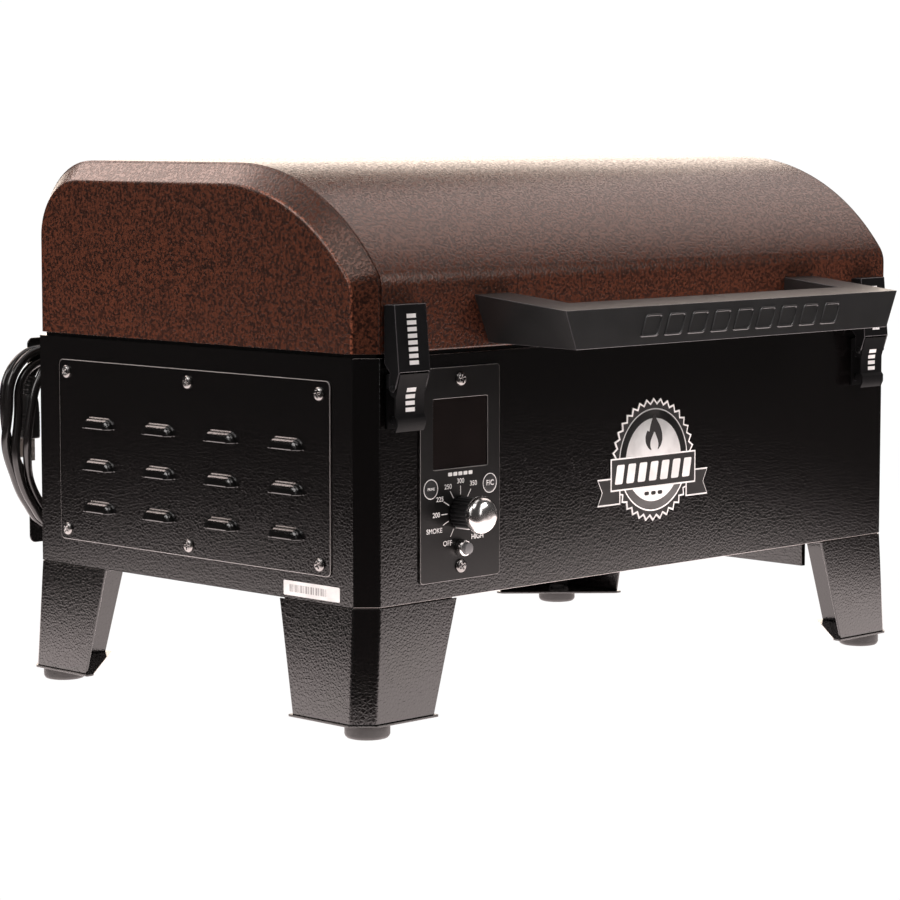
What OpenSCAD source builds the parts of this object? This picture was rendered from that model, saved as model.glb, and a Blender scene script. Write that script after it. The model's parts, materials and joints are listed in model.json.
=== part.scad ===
// Table-top pellet smoker grill: sheet-steel cabinet on four legs, domed lid,
// pellet hopper and auger under the left half, cooking chamber under the rest.

/* [Cabinet] */
// Overall width of the cabinet
body_w = 700; // [680:5:720]
// Depth of the cabinet from front face to back face
body_d = 440; // [435:1:445]
// Height of the cabinet, without legs and lid
body_h = 204; // [204:1:210]
// Size of the 45 degree cut at each upright corner
corner_cut = 15.4; // [12:0.2:18]
// Height of the lip that stands on the cabinet's rim
rim_lip = 2.6; // [1:0.1:2.7]
// Thickness of the sheet steel
sheet_t = 1.5; // [1.2:0.1:1.6]

/* [Lid] */
// Gap between the cabinet and the closed lid
lid_gap = 3.4; // [2.4:0.2:4]
// Height of the lid
lid_h = 153.3; // [150:0.1:156]
// Radius of the curved front of the lid
dome_r = 210; // [206:1:212]
// Radius of the rear top edge of the lid
lid_rear_r = 68; // [50:1:72]
// Width of the 45 degree edge around each end of the lid
lid_bevel = 17.9; // [14:0.1:20]
// Overhang of the lid past each side of the cabinet
lid_overhang = 1.5; // [1.5:0.1:2]

/* [Handle] */
// Distance from the cabinet front to the handle front
handle_reach = 101.2; // [90:0.2:110]
// Width of the handle at its top edge
handle_w = 446; // [430:2:460]
// Wall thickness of the hollow handle
handle_wall = 4; // [3:0.5:5]

/* [Legs] */
// Height of the sheet-metal legs
leg_h = 98; // [90:1:110]
// Width of each leg wing at the top, from the corner
leg_top = 105; // [95:1:110]
// Width of each leg wing at the bottom, from the corner
leg_bottom = 76; // [65:1:85]
// Width of a leg's side wing at its foot
leg_side_bottom = 83; // [70:1:90]
// Diameter of a rubber foot
foot_d = 38; // [30:1:40]
// Height of a rubber foot
foot_h = 12; // [8:1:16]

/* [Vent cover] */
// Length of the louvred cover on the left end
vent_l = 354.8; // [340:0.2:360]
// Height of the louvred cover
vent_h = 161.8; // [150:0.2:170]
// Length of one louvre
louvre_l = 41; // [36:1:44]
// Louvres in a row
louvre_cols = 4; // [2:1:4]
// Rows of louvres
louvre_rows = 3; // [2:1:3]

/* [Controls] */
// Width of the control faceplate
plate_w = 94; // [90:1:98]
// Height of the control faceplate
plate_h = 178.5; // [170:0.5:184]
// Thickness of the control faceplate
plate_t = 2; // [1.5:0.1:2.5]
// Diameter of the dial's bright cap
dial_d = 32; // [28:1:34]

/* [Power cord] */
// Diameter of the mains lead
cord_d = 8; // [7:0.5:8]

/* [Hidden] */
$fn = 96;
eps = 0.01;
slack = 1;

// ---- shared frame: x across, y from the front face backwards, z up from the cabinet floor
left = -body_w / 2;
right = body_w / 2;
back = body_d;
inner = body_w / 2 - sheet_t;
top = body_h;
cleat_reach = 43;
// The whole object is centred between the handle front and the cord cleats.
front_y = handle_reach - (handle_reach + body_d + cleat_reach) / 2;
body_z = leg_h + foot_h;

// ---- lid
lid_half = body_w / 2 + lid_overhang;
wrap_half = lid_half - lid_bevel;
lid_front = -1.2;
lid_rear = body_d - 3;
lid_z0 = body_h + lid_gap;
lid_z1 = lid_z0 + lid_h;
dome_y = 172.5;
dome_z = lid_z1 - dome_r;
lid_hem = 9;
hinge_y = body_d + 6;
hinge_z = lid_z0 - 1.7;
hinge_x = [-200, 200];
hinge_leaf = 30;
hinge_mid = 10;
hinge_gap = 0.3;
knuckle_r = 4.5;
hinge_pin_r = 2.5;
run_fit = 0.05;

// ---- latches
latch_x = [left + 37, left + 650.5];
latch_half = 18;
latch_t = 1.5;
lever_half = 16;
base_half = 14;
pivot = [-6, 187];
arm_pivot = [-11.5, 180];
pivot_r = 1.5;

// ---- controls
plate_x = left + 107;
plate_z = 14.5;
screw_zs = [26, 182.7];
window_w = 64.5;
window_z = [108.5, 167];
dial_z = 70.7;
dial_shaft_r = 3;
button_z = 92.9;
button_dx = 34.9;
button_r = 7.5;
power_z = 41.5;
power_r = 5;
dial_front = -23.5;

// ---- hopper, auger and fire
wall_x = left + 225;
auger_y = 230;
auger_z = 42;
tube_r = 19;
flight_r = 16.9;
auger_shaft_r = 6;
tube_x = [-262, 64];
mouth_x = [-300, -150];
mouth_y = [160, 300];
chute_x = [-250, -190];
deck_z = 196;
pot_x = 105;
pot_r = 45;
pot_z = [12, 84];
blower_y = 110;
blower_z = 92;
blower_x = [-330, -292];
blower_r = 46;
hopper_axis = [306, 201];

// ---- grease tray under the front right corner; its own corner is cut to clear the leg
tray_x = [267, 320];
tray_y = [41, 187];
tray_z = [-29.5, -6];

// ---- cord: a winding of four turns on two cleats, lead in front of it, plug inside it
hank_x = left + 40;
hank_z = [66, 144];
hank_r = [30, 46];
hank_y = [body_d + 23, body_d + 39];
lead_y = body_d + 15;
tail_y = body_d + 31;
gland_x = -264;
plug_x = -329;
plug_bend_r = 32;
plug_z = 147;
relief_angle = 34;
lead_route = [[-264, 455, 104], [-264, 455, 120], [-264, 455, 136], [-264, 455, 150],
    [-266, 455, 162], [-273, 455, 173], [-284, 455, 180], [-296, 455, 182],
    [-308, 455, 180], [-319, 455, 173], [-326, 455, 162], [-328, 455, 150],
    [-328, 455, 134], [-328, 455, 117], [-328, 455, 100], [-328, 455, 83],
    [-328, 455, 66], [-326, 456, 54], [-319, 458, 43], [-308, 461, 36], [-296, 465, 34]];
tail_route = [[-323.5, 471, 165], [-319.6, 473, 170.3], [-313.8, 474.3, 174.8],
    [-307, 475, 177], [-300.6, 475, 176.7]];

// ================= helpers
module place() translate([0, front_y, body_z]) children();

module box(x, y, z) translate([x[0], y[0], z[0]])
    cube([x[1] - x[0], y[1] - y[0], z[1] - z[0]]);

module along_x(x0, x1) translate([x0, 0, 0]) rotate([90, 0, 90])
    linear_extrude(x1 - x0) children();

module along_y(y0, y1) translate([0, y1, 0]) rotate([90, 0, 0])
    linear_extrude(y1 - y0) children();

module rod_x(x0, x1, y, z, r) translate([x0, y, z]) rotate([0, 90, 0])
    cylinder(r = r, h = x1 - x0);

module rod_y(x, y0, y1, z, r) translate([x, y0, z]) rotate([-90, 0, 0])
    cylinder(r = r, h = y1 - y0);

module rod_z(x, y, z0, z1, r) translate([x, y, z0]) cylinder(r = r, h = z1 - z0);

module round_rect(w, h, r) union() {
    translate([r, 0]) square([w - 2 * r, h]);
    translate([0, r]) square([w, h - 2 * r]);
    for (x = [r, w - r], y = [r, h - r]) translate([x, y]) circle(r);
}

// Pan-head screw that points along +y, its head's underside at the origin.
module pan_screw(head_r, head_h, shank_r, shank_l) {
    rotate([90, 0, 0]) cylinder(r = head_r, h = head_h * 0.5);
    translate([0, -head_h * 0.5, 0]) rotate([90, 0, 0]) cylinder(r1 = head_r,
        r2 = head_r * 0.6, h = head_h * 0.5);
    rotate([-90, 0, 0]) cylinder(r = shank_r, h = shank_l);
}

module cabinet_outline(inset) {
    c = corner_cut - inset * 0.586;
    polygon([[left + inset, inset + c], [left + inset + c, inset],
        [right - inset - c, inset], [right - inset, inset + c],
        [right - inset, back - inset - c], [right - inset - c, back - inset],
        [left + inset + c, back - inset], [left + inset, back - inset - c]]);
}

// ================= cabinet
module wrap_panel() linear_extrude(body_h) polygon([
    [left, corner_cut], [left + corner_cut, 0], [right - corner_cut, 0], [right, corner_cut],
    [right - sheet_t * 1.414, corner_cut], [right - corner_cut - sheet_t * 0.414, sheet_t],
    [left + corner_cut + sheet_t * 0.414, sheet_t], [left + sheet_t * 1.414, corner_cut]]);

module front_panel() color([0.09, 0.085, 0.085]) difference() {
    wrap_panel();
    box([plate_x - 35.5, plate_x + 35.5], [-slack, sheet_t + slack], [104, 171]);
    for (z = screw_zs) rod_y(plate_x, -slack, sheet_t + slack, z, 2.1);
    for (s = [-1, 1]) rod_y(plate_x + s * button_dx, -slack, sheet_t + slack,
        button_z, button_r + 1);
    for (z = [dial_z, power_z]) rod_y(plate_x, -slack, sheet_t + slack, z, power_r + 2);
}

module rear_panel() color([0.09, 0.085, 0.085]) difference() {
    translate([0, back, 0]) mirror([0, 1, 0]) wrap_panel();
    for (i = [0:9]) translate([-110 + i * 24, back + slack, 150]) rotate([90, 0, 0])
        linear_extrude(sheet_t + 2 * slack) round_rect(9, 30, 4.4);
    rod_y(gland_x, back - sheet_t - slack, back + slack, 76, 6.1);
}

module end_panel(x) box([x, x + sheet_t], [corner_cut, back - corner_cut], [0, top]);

vent_y0 = 40.8;
vent_z0 = 22.5;
vent_screw_ys = [53.4, 218.8, 384.5];
vent_screw_zs = [32.2, 173.3];

module left_end_panel() color([0.09, 0.085, 0.085]) difference() {
    end_panel(left);
    for (i = [0:3], j = [0, 1]) box([left - slack, left + sheet_t + slack],
        [66 + i * 80, 134 + i * 80], [44 + j * 62, 98 + j * 62]);
    for (y = vent_screw_ys, z = vent_screw_zs) rod_x(left - slack, left + 3, y, z, 2.1);
}

module right_end_panel() color([0.09, 0.085, 0.085]) end_panel(right - sheet_t);

drain = [302, 112];
module floor_pan() color([0.12, 0.12, 0.12]) {
    difference() {
        linear_extrude(sheet_t) cabinet_outline(sheet_t);
        rod_z(drain[0], drain[1], -slack, sheet_t + slack, 9);
        for (i = [0:4], j = [0:2]) rod_z(-325 + i * 12, blower_y - 12 + j * 12,
            -slack, sheet_t + slack, 3.5);
    }
    // hangers of the grease tray, folded from the pan
    for (p = [[tray_x[0] - 5, 50], [tray_x[1] + 3.5, 95]])
        box([p[0], p[0] + 1.5], [p[1], 232], [-9, 0]);
    for (p = [[tray_x[0] - 5, 50], [tray_x[1] + 1.1, 95]])
        box([p[0], p[0] + 3.9], [p[1], 232], [-9, -7.5]);
}

module chamber_rim() color([0.12, 0.12, 0.12]) translate([0, 0, top - sheet_t]) {
    linear_extrude(sheet_t) difference() {
        cabinet_outline(sheet_t);
        cabinet_outline(7);
    }
    // raised lip that closes the gap under the lid
    linear_extrude(sheet_t + rim_lip) difference() {
        cabinet_outline(5.8);
        cabinet_outline(7);
    }
}

module hopper_partition() color([0.35, 0.35, 0.36]) difference() {
    box([wall_x, wall_x + sheet_t], [sheet_t, back - sheet_t], [sheet_t, top - sheet_t]);
    rod_x(wall_x - slack, wall_x + 3, auger_y, auger_z, tube_r + 0.1);
    rod_x(wall_x - slack, wall_x + 3, 60, 150, 3.05);
    box([wall_x - slack, wall_x + 3], [blower_y - 18, blower_y + 18], [30, 56]);
}

module hopper_deck() color([0.3, 0.3, 0.31]) {
    difference() {
        intersection() {
            translate([0, 0, deck_z]) linear_extrude(sheet_t) cabinet_outline(sheet_t);
            box([-inner, wall_x], [0, back], [deck_z, deck_z + sheet_t]);
        }
        box(mouth_x, mouth_y, [deck_z - slack, deck_z + 3]);
    }
    for (i = [1:4]) box(mouth_x, [mouth_y[0] + i * 28 - 1, mouth_y[0] + i * 28 + 1],
        [deck_z - 4, deck_z - 1]);
    for (x = mouth_x) for (i = [1:4]) translate([x + (x < -200 ? 0 : -2), 0, 0])
        box([0, 2], [mouth_y[0] + i * 28 - 1, mouth_y[0] + i * 28 + 1],
            [deck_z - 4, deck_z + sheet_t]);
    for (x = [-296, -160]) difference() {
        box([x, x + 6], [hopper_axis[0] - 3, hopper_axis[0] + 3],
            [deck_z + sheet_t, hopper_axis[1] + 3]);
        rod_x(x - slack, x + 7, hopper_axis[0], hopper_axis[1], 1.5);
    }
    rod_x(-296, -154, hopper_axis[0], hopper_axis[1], 1.5);
}

module funnel(grow, z0, z1) hull() {
    box([mouth_x[0] + grow, mouth_x[1] - grow], [mouth_y[0] + grow, mouth_y[1] - grow],
        [z1 - eps, z1]);
    box([chute_x[0] + grow, chute_x[1] - grow], [auger_y - 14 + grow, auger_y + 14 - grow],
        [z0, z0 + eps]);
}

module hopper_bin() color([0.45, 0.45, 0.46]) difference() {
    funnel(-1.2, 50, deck_z);
    funnel(0, 50 - eps, deck_z + eps);
    box([mouth_x[0] - 5, mouth_x[1] + 5], [mouth_y[0] + 27 - 2, mouth_y[1] - 25],
        [deck_z - 5, deck_z + 1]);
    rod_x(chute_x[0] - 5, chute_x[1] + 5, auger_y, auger_z, tube_r + 0.05);
}

module auger_tube() color([0.5, 0.5, 0.52]) difference() {
    rod_x(tube_x[0], tube_x[1], auger_y, auger_z, tube_r);
    rod_x(tube_x[0] + 4, tube_x[1] + slack, auger_y, auger_z, tube_r - sheet_t);
    rod_x(tube_x[0] - slack, tube_x[0] + 5, auger_y, auger_z, auger_shaft_r + run_fit);
    box([chute_x[0], chute_x[1]], [auger_y - 12, auger_y + 12], [auger_z, auger_z + 22]);
}

module auger_motor() color([0.25, 0.25, 0.26]) {
    box([-306, -274], [auger_y - 32, auger_y + 32], [auger_z - 30, auger_z + 34]);
    rod_x(-332, -306, auger_y + 4, auger_z + 4, 24);
    rod_x(-274, -272, auger_y, auger_z, 11);
    // two feet that stand on the floor pan
    for (y = [auger_y - 26, auger_y + 18]) box([-304, -276], [y, y + 8],
        [sheet_t, auger_z - 30]);
}

module blower_housing() color([0.16, 0.16, 0.17]) {
    // fan motor on two straps
    rod_x(blower_x[1] + 8, blower_x[1] + 32, blower_y, blower_z, 17);
    for (s = [-1, 1]) box([blower_x[1], blower_x[1] + 20],
        [blower_y + s * 16 - 1.5, blower_y + s * 16 + 1.5], [blower_z - 5, blower_z + 5]);
    difference() {
        union() {
            rod_x(blower_x[0], blower_x[1], blower_y, blower_z, blower_r);
            box([blower_x[0], blower_x[1]], [blower_y - 20, blower_y + 20],
                [28, blower_z]);
            box([blower_x[1], wall_x], [blower_y - 20, blower_y + 20], [28, 58]);
        }
        rod_x(blower_x[0] + 2, blower_x[1] - 2, blower_y, blower_z, blower_r - 2);
        rod_x(blower_x[0] - slack, blower_x[0] + 3, blower_y, blower_z, 24);
        rod_x(blower_x[1] - 3, blower_x[1] + slack, blower_y, blower_z, 3 + run_fit);
        box([blower_x[0] + 2, blower_x[1] - 2], [blower_y - 18, blower_y + 18],
            [30, blower_z]);
        box([blower_x[1] - 3, wall_x + slack], [blower_y - 18, blower_y + 18], [30, 56]);
    }
    // mounting feet
    for (x = [blower_x[0], blower_x[1] - 4]) box([x, x + 4],
        [blower_y - 20, blower_y + 20], [sheet_t, 28]);
}

module burn_pot() color([0.2, 0.2, 0.2]) difference() {
    union() {
        rod_z(pot_x, auger_y, sheet_t, pot_z[0], 20);
        rod_z(pot_x, auger_y, pot_z[0], pot_z[1], pot_r);
    }
    rod_z(pot_x, auger_y, pot_z[0] + 3, pot_z[1] + slack, pot_r - 3);
    rod_x(pot_x - pot_r - slack, pot_x - 20, auger_y, auger_z, tube_r + 0.1);
    rod_y(pot_x, auger_y - pot_r - slack, auger_y - 20, 26, 5.1);
    for (i = [0:11]) rotate_about_pot(i * 30 + 15)
        rod_x(pot_r - 6, pot_r + slack, 0, 66, 3);
}

module rotate_about_pot(a) translate([pot_x, auger_y, 0]) rotate([0, 0, a]) children();

module igniter_rod() color([0.7, 0.7, 0.7]) {
    rod_y(pot_x, 132, auger_y - pot_r + 12, 26, 5);
    box([pot_x - 9, pot_x + 9], [120, 132], [sheet_t, 36]);
}

deflector_x = [-60, 290];
deflector_y = [90, 370];
deflector_z = 108;
module heat_deflector() color([0.18, 0.17, 0.17]) {
    difference() {
        box(deflector_x, deflector_y, [deflector_z, deflector_z + 2]);
        for (i = [0:5]) box([pot_x - 34 + i * 12, pot_x - 28 + i * 12],
            [auger_y - 40, auger_y + 40], [deflector_z - slack, deflector_z + 3]);
    }
    // turned-down edges
    for (y = [deflector_y[0], deflector_y[1] - 2]) box(deflector_x, [y, y + 2],
        [deflector_z - 12, deflector_z]);
    for (x = [deflector_x[0], deflector_x[1] - 2]) box([x, x + 2],
        [deflector_y[0] + 2, deflector_y[1] - 2], [deflector_z - 12, deflector_z]);
    // four feet on the floor pan
    for (x = [deflector_x[0] + 2, deflector_x[1] - 8],
         y = [deflector_y[0] + 2, deflector_y[1] - 8])
        box([x, x + 6], [y, y + 6], [sheet_t, deflector_z]);
    // low rails that guide the sliding cover
    for (y = [auger_y - 52, auger_y + 50]) box([pot_x - 50, pot_x + 160], [y, y + 2],
        [deflector_z + 2, deflector_z + 6]);
}

module broiler_slider() color([0.45, 0.44, 0.44]) {
    difference() {
        box([pot_x - 46, pot_x + 46], [auger_y - 49, auger_y + 49],
            [deflector_z + 2.1, deflector_z + 4.1]);
        for (i = [0:4]) box([pot_x - 27.5 + i * 12, pot_x - 22.5 + i * 12],
            [auger_y - 38, auger_y + 38], [deflector_z, deflector_z + 6]);
    }
    rod_x(pot_x + 46, pot_x + 150, auger_y, deflector_z + 6, 3);
    box([pot_x + 40, pot_x + 46], [auger_y - 6, auger_y + 6],
        [deflector_z + 4.1, deflector_z + 10]);
    translate([pot_x + 150, auger_y, deflector_z + 10.5]) sphere(8);
}

grate_z = 172;
module grate_rails() color([0.3, 0.3, 0.3]) for (m = [0, 1])
    translate([0, m * back, 0]) mirror([0, m, 0]) {
        box([wall_x + sheet_t, inner - 16], [sheet_t, sheet_t + 1.5],
            [grate_z - 14, grate_z - 4]);
        box([wall_x + sheet_t, inner - 16], [sheet_t + 1.5, 24], [grate_z - 5.5, grate_z - 4]);
    }

module cooking_grate() color([0.75, 0.75, 0.76]) {
    x = [wall_x + 8, inner - 14];
    y = [16, back - 16];
    bar_w = 5;
    bars = 26;
    z = [grate_z - 4, grate_z + 4];
    difference() {
        box(x, y, z);
        box([x[0] + bar_w, x[1] - bar_w], [y[0] + bar_w, y[1] - bar_w],
            [z[0] - slack, z[1] + slack]);
    }
    for (k = [1, 2]) translate([0, y[0] + (y[1] - y[0]) * k / 3, 0])
        box(x, [-bar_w / 2, bar_w / 2], [z[0], grate_z + 1]);
    for (i = [1:bars]) rod_y(x[0] + (x[1] - x[0]) * i / (bars + 1), y[0] + 1, y[1] - 1,
        grate_z + 1, 2.4);
}

module temperature_probe() color([0.8, 0.8, 0.8]) {
    rod_x(wall_x - 14, wall_x + 60, 60, 150, 3);
    rod_x(wall_x - 18, wall_x - 14, 60, 150, 6);
}

module hopper_lid() color([0.25, 0.25, 0.26]) {
    z0 = deck_z + sheet_t;
    box([mouth_x[0] - 6, mouth_x[1] + 6], [mouth_y[0] - 6, hopper_axis[0] - 4], [z0, z0 + 1.5]);
    box([-245, -205], [mouth_y[0] - 6, mouth_y[0] - 4.5], [z0 + 1.5, z0 + 5]);
    difference() {
        union() {
            rod_x(-289, -161, hopper_axis[0], hopper_axis[1], 3);
            box([-289, -161], [hopper_axis[0] - 6, hopper_axis[0]], [z0 + 0.1, z0 + 1.5]);
        }
        rod_x(-290, -160, hopper_axis[0], hopper_axis[1], 1.5 + run_fit);
    }
}

module auger_screw() color([0.55, 0.55, 0.56]) {
    rod_x(-271.8, tube_x[1], auger_y, auger_z, auger_shaft_r);
    turns = 10;
    translate([-254, auger_y, auger_z]) rotate([0, 90, 0])
        linear_extrude(310, twist = -360 * turns, slices = turns * 12, segments = 8)
            translate([auger_shaft_r - 1, -1.5]) square([flight_r - auger_shaft_r + 1, 3]);
}

module blower_impeller() color([0.4, 0.4, 0.42]) {
    rod_x(blower_x[1] - 6, blower_x[1] - 4, blower_y, blower_z, 36);
    rod_x(blower_x[1] - 12, blower_x[1] + 6, blower_y, blower_z, 3);
    for (i = [0:15]) translate([0, blower_y, blower_z]) rotate([i * 22.5, 0, 0])
        box([blower_x[0] + 6, blower_x[1] - 6], [24, 35], [-0.8, 0.8]);
    difference() {
        rod_x(blower_x[0] + 4, blower_x[0] + 6, blower_y, blower_z, 36);
        rod_x(blower_x[0], blower_x[0] + 8, blower_y, blower_z, 24);
    }
}

// ================= controls
module control_faceplate() color([0.06, 0.058, 0.06]) {
    difference() {
        translate([plate_x - plate_w / 2, 0, plate_z]) along_y(-plate_t, 0)
            round_rect(plate_w, plate_h, 3);
        box([plate_x - window_w / 2, plate_x + window_w / 2], [-plate_t - slack, slack], window_z);
        rod_y(plate_x, -plate_t - slack, slack, dial_z, dial_shaft_r + run_fit);
        for (s = [-1, 1]) rod_y(plate_x + s * button_dx, -plate_t - slack, slack,
            button_z, button_r + run_fit);
        rod_y(plate_x, -plate_t - slack, slack, power_z, power_r + run_fit);
        for (z = screw_zs) rod_y(plate_x, -plate_t - slack, slack, z, 2.1);
    }
    // threaded collar of the power switch
    difference() {
        rod_y(plate_x, -plate_t - 7, -plate_t, power_z, 7);
        rod_y(plate_x, -plate_t - 8, slack, power_z, power_r + run_fit);
    }
}

module display_window() color([0.12, 0.09, 0.09]) {
    w = window_w / 2;
    box([plate_x - w, plate_x + w], [-plate_t + 1.2, 0], window_z);
    box([plate_x - w - 3, plate_x + w + 3], [0, 2.5], [window_z[0] - 3, window_z[1] + 3]);
}

module faceplate_screws() color("silver") for (z = screw_zs)
    translate([plate_x, -plate_t, z]) pan_screw(6, 3, 2, plate_t + sheet_t + 3);

module dial_skirt() color([0.07, 0.07, 0.07]) {
    rod_y(plate_x, -plate_t - 0.4, 10, dial_z, dial_shaft_r);
    rod_y(plate_x, dial_front, -plate_t - 0.4, dial_z, 13);
    for (i = [0:23]) translate([plate_x, 0, dial_z]) rotate([0, i * 15, 0])
        box([12.5, 13.8], [dial_front, -plate_t - 1], [-0.8, 0.8]);
}

module dial_cap() color("silver") translate([plate_x, dial_front, dial_z]) rotate([90, 0, 0])
    rotate_extrude() {
        square([dial_d / 2, 7]);
        translate([0, 7]) square([dial_d / 2 - 5, 5]);
        translate([dial_d / 2 - 5, 7]) intersection() {
            circle(5);
            square(5);
        }
    }

module membrane_button(s) translate([plate_x + s * button_dx, 0, button_z]) {
    rod_y(0, -plate_t - 0.3, 1.2, 0, button_r);
}

module prime_button() color([0.08, 0.08, 0.08]) membrane_button(-1);

module unit_button() color([0.08, 0.08, 0.08]) membrane_button(1);

module power_button() color([0.3, 0.3, 0.31]) rod_y(plate_x, -12.6, 3, power_z, power_r);

module control_board() color([0.05, 0.25, 0.12]) {
    box([plate_x - 38, plate_x + 38], [14, 15.6], [20, 188]);
    for (x = [-34, 34], z = [25, 183]) rod_y(plate_x + x, sheet_t, 14, z, 2.5);
}

// ================= vent cover
louvre_pitch_y = 82;
louvre_pitch_z = 37.3;
louvre_y0 = 73.5;
louvre_z0 = 50.3;
hood_r = 9;
hood_sink = 3;

// A pressed hood: a quarter capsule, open underneath.
module hood(r) translate([left - sheet_t + hood_sink, 0, 0]) {
    translate([0, hood_r, 0]) rod_y(0, 0, louvre_l - 2 * hood_r, 0, r);
    for (y = [hood_r, louvre_l - hood_r]) translate([0, y, 0]) sphere(r);
}

module at_louvres() for (i = [0:louvre_cols - 1], j = [0:louvre_rows - 1])
    translate([0, louvre_y0 + i * louvre_pitch_y, louvre_z0 + j * louvre_pitch_z]) children();

module vent_cover() color([0.08, 0.08, 0.08]) {
    difference() {
        translate([0, vent_y0, vent_z0]) along_x(left - sheet_t, left)
            round_rect(vent_l, vent_h, 5);
        at_louvres() box([left - 3, left + 1], [3, louvre_l - 3], [0, 7]);
        for (y = vent_screw_ys, z = vent_screw_zs) rod_x(left - 3, left + 1, y, z, 2.1);
    }
    at_louvres() intersection() {
        difference() {
            hood(hood_r);
            hood(hood_r - 1.2);
        }
        box([left - 10, left - sheet_t], [0, louvre_l], [0, 10]);
    }
}

module vent_screws() color("silver") for (y = vent_screw_ys, z = vent_screw_zs)
    translate([left - sheet_t, y, z]) rotate([0, 0, -90]) pan_screw(6, 3, 2, 7);

// ================= legs
leg_t = 2;
flare_x = 6;
flare_y = 2;

// One slab of a leg wing: hull of its top edge and its bottom edge.
module wing(a_top, b_top, a_low, b_low) hull() {
    translate([0, 0, -1.5]) linear_extrude(eps) wing_edge(a_top, b_top);
    translate([0, 0, -leg_h + 2]) linear_extrude(eps) wing_edge(a_low, b_low);
}

module wing_edge(a, b) {
    d = (b - a) / norm(b - a);
    n = [-d[1], d[0]] * leg_t;
    polygon([a, b, b + n, a + n]);
}

// A leg at the corner (0, 0), with its wings along +x and +y.
module leg_shape(top_w, low_w) {
    c = corner_cut;
    lo = [-flare_x, -flare_y];
    side_w = leg_side_bottom;
    tip = 4;
    wing([c, 0], [top_w, 0], lo + [c, 0], [low_w, -flare_y]);
    wing([0, leg_top], [0, c], [-flare_x, side_w], lo + [0, c]);
    wing([0, c], [c, 0], lo + [0, c], lo + [c, 0]);
    // foot plate
    difference() {
        translate([0, 0, -leg_h]) linear_extrude(2) polygon([lo + [c, -2], lo + [-2, c],
            [-flare_x - 2, side_w + tip], [0, side_w + tip],
            [low_w + tip, 4], [low_w + tip, -flare_y - 2]]);
        rod_z(20, 20, -leg_h - slack, -leg_h + 3, 4.1);
    }
    // top flange, bolted to the floor pan
    difference() {
        translate([0, 0, -3]) linear_extrude(3) polygon([[c + 0.6, 1.9], [1.9, c + 0.6],
            [1.9, leg_top - 4], [14, leg_top - 4], [14, 14], [leg_top - 4, 14],
            [leg_top - 4, 1.9]]);
        for (p = [[80, 9], [9, 80]]) rod_z(p[0], p[1], -4, slack, 3);
    }
}

module leg(mx, my) color([0.1, 0.095, 0.095]) translate([mx ? right : left, my ? back : 0, 0])
    mirror([mx, 0, 0]) mirror([0, my, 0])
    leg_shape(leg_top + (my ? 6 : 0), leg_bottom + (my ? 8 : 0));

module leg_front_left() leg(0, 0);

module leg_front_right() leg(1, 0);

module leg_rear_left() leg(0, 1);

module leg_rear_right() leg(1, 1);

module rubber_feet() color([0.05, 0.05, 0.05])
    for (x = [left + 20, right - 20], y = [20, back - 20]) {
        rod_z(x, y, -body_z, -body_z + 3, foot_d / 2 - 1);
        rod_z(x, y, -body_z + 3, -leg_h, foot_d / 2);
        rod_z(x, y, -leg_h, -leg_h + 2, 4);
        rod_z(x, y, -leg_h + 2, -leg_h + 4, 7);
    }

// ================= badge and grease tray
module badge() color([0.85, 0.85, 0.85]) {
    rod_y(2, -1.2, 0, 96.5, 55);
    translate([2, 0, 0]) along_y(-1.2, 0) {
        translate([-57, 72]) square([114, 29]);
        for (s = [-1, 1]) polygon([[s * 40, 60], [s * 74, 60], [s * 68, 72], [s * 74, 84],
            [s * 40, 84]]);
    }
}

module tray_outline() {
    cut = tray_x[1] - tray_x[0] - 5;
    polygon([[tray_x[0], tray_y[0]], [tray_x[0] + 5, tray_y[0]],
        [tray_x[1], tray_y[0] + cut], [tray_x[1], tray_y[1]], [tray_x[0], tray_y[1]]]);
}

module grease_tray() color([0.3, 0.29, 0.29]) {
    difference() {
        translate([0, 0, tray_z[0]]) linear_extrude(tray_z[1] - tray_z[0]) tray_outline();
        translate([0, 0, tray_z[0] + 1.5]) linear_extrude(tray_z[1] - tray_z[0])
            offset(delta = -1.5) tray_outline();
    }
    // flanges that slide on the hangers
    for (p = [[tray_x[0] - 2.8, 50], [tray_x[1], 95]])
        box([p[0], p[0] + 2.8], [p[1], tray_y[1]], [tray_z[1] - 1.3, tray_z[1]]);
}

// ================= cord
function unit(v) = v / norm(v);

function heading(p, i) = unit(p[min(i + 1, len(p) - 1)] - p[max(i - 1, 0)]);

// A tube of a round section swept along the route's own points.
module cord_tube(route, sides = 12) {
    n = len(route);
    points = [for (i = [0:n - 1]) let (t = heading(route, i), u = unit(cross(t, [0, 1, 0])),
        v = cross(u, t)) for (k = [0:sides - 1]) route[i]
        + cord_d / 2 * (cos(360 * k / sides) * u + sin(360 * k / sides) * v)];
    walls = [for (i = [0:n - 2], k = [0:sides - 1]) let (m = (k + 1) % sides)
        [i * sides + k, (i + 1) * sides + k, (i + 1) * sides + m, i * sides + m]];
    polyhedron(points, concat([[for (k = [0:sides - 1]) k]], walls,
        [[for (k = [sides - 1:-1:0]) (n - 1) * sides + k]]), convexity = 6);
}

module cord_lead() color([0.05, 0.05, 0.05]) cord_tube(lead_route);

module cord_tail() color([0.05, 0.05, 0.05]) cord_tube(tail_route);

module oval(r) union() {
    for (z = hank_z) translate([hank_x, z]) circle(r);
    translate([hank_x - r, hank_z[0]]) square([2 * r, hank_z[1] - hank_z[0]]);
}

module cord_hank() color([0.05, 0.05, 0.05]) along_y(hank_y[0], hank_y[1]) difference() {
    oval(hank_r[1]);
    oval(hank_r[0]);
}

strut_x = [-310, -300];
lip_x = [-320, -290];
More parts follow.
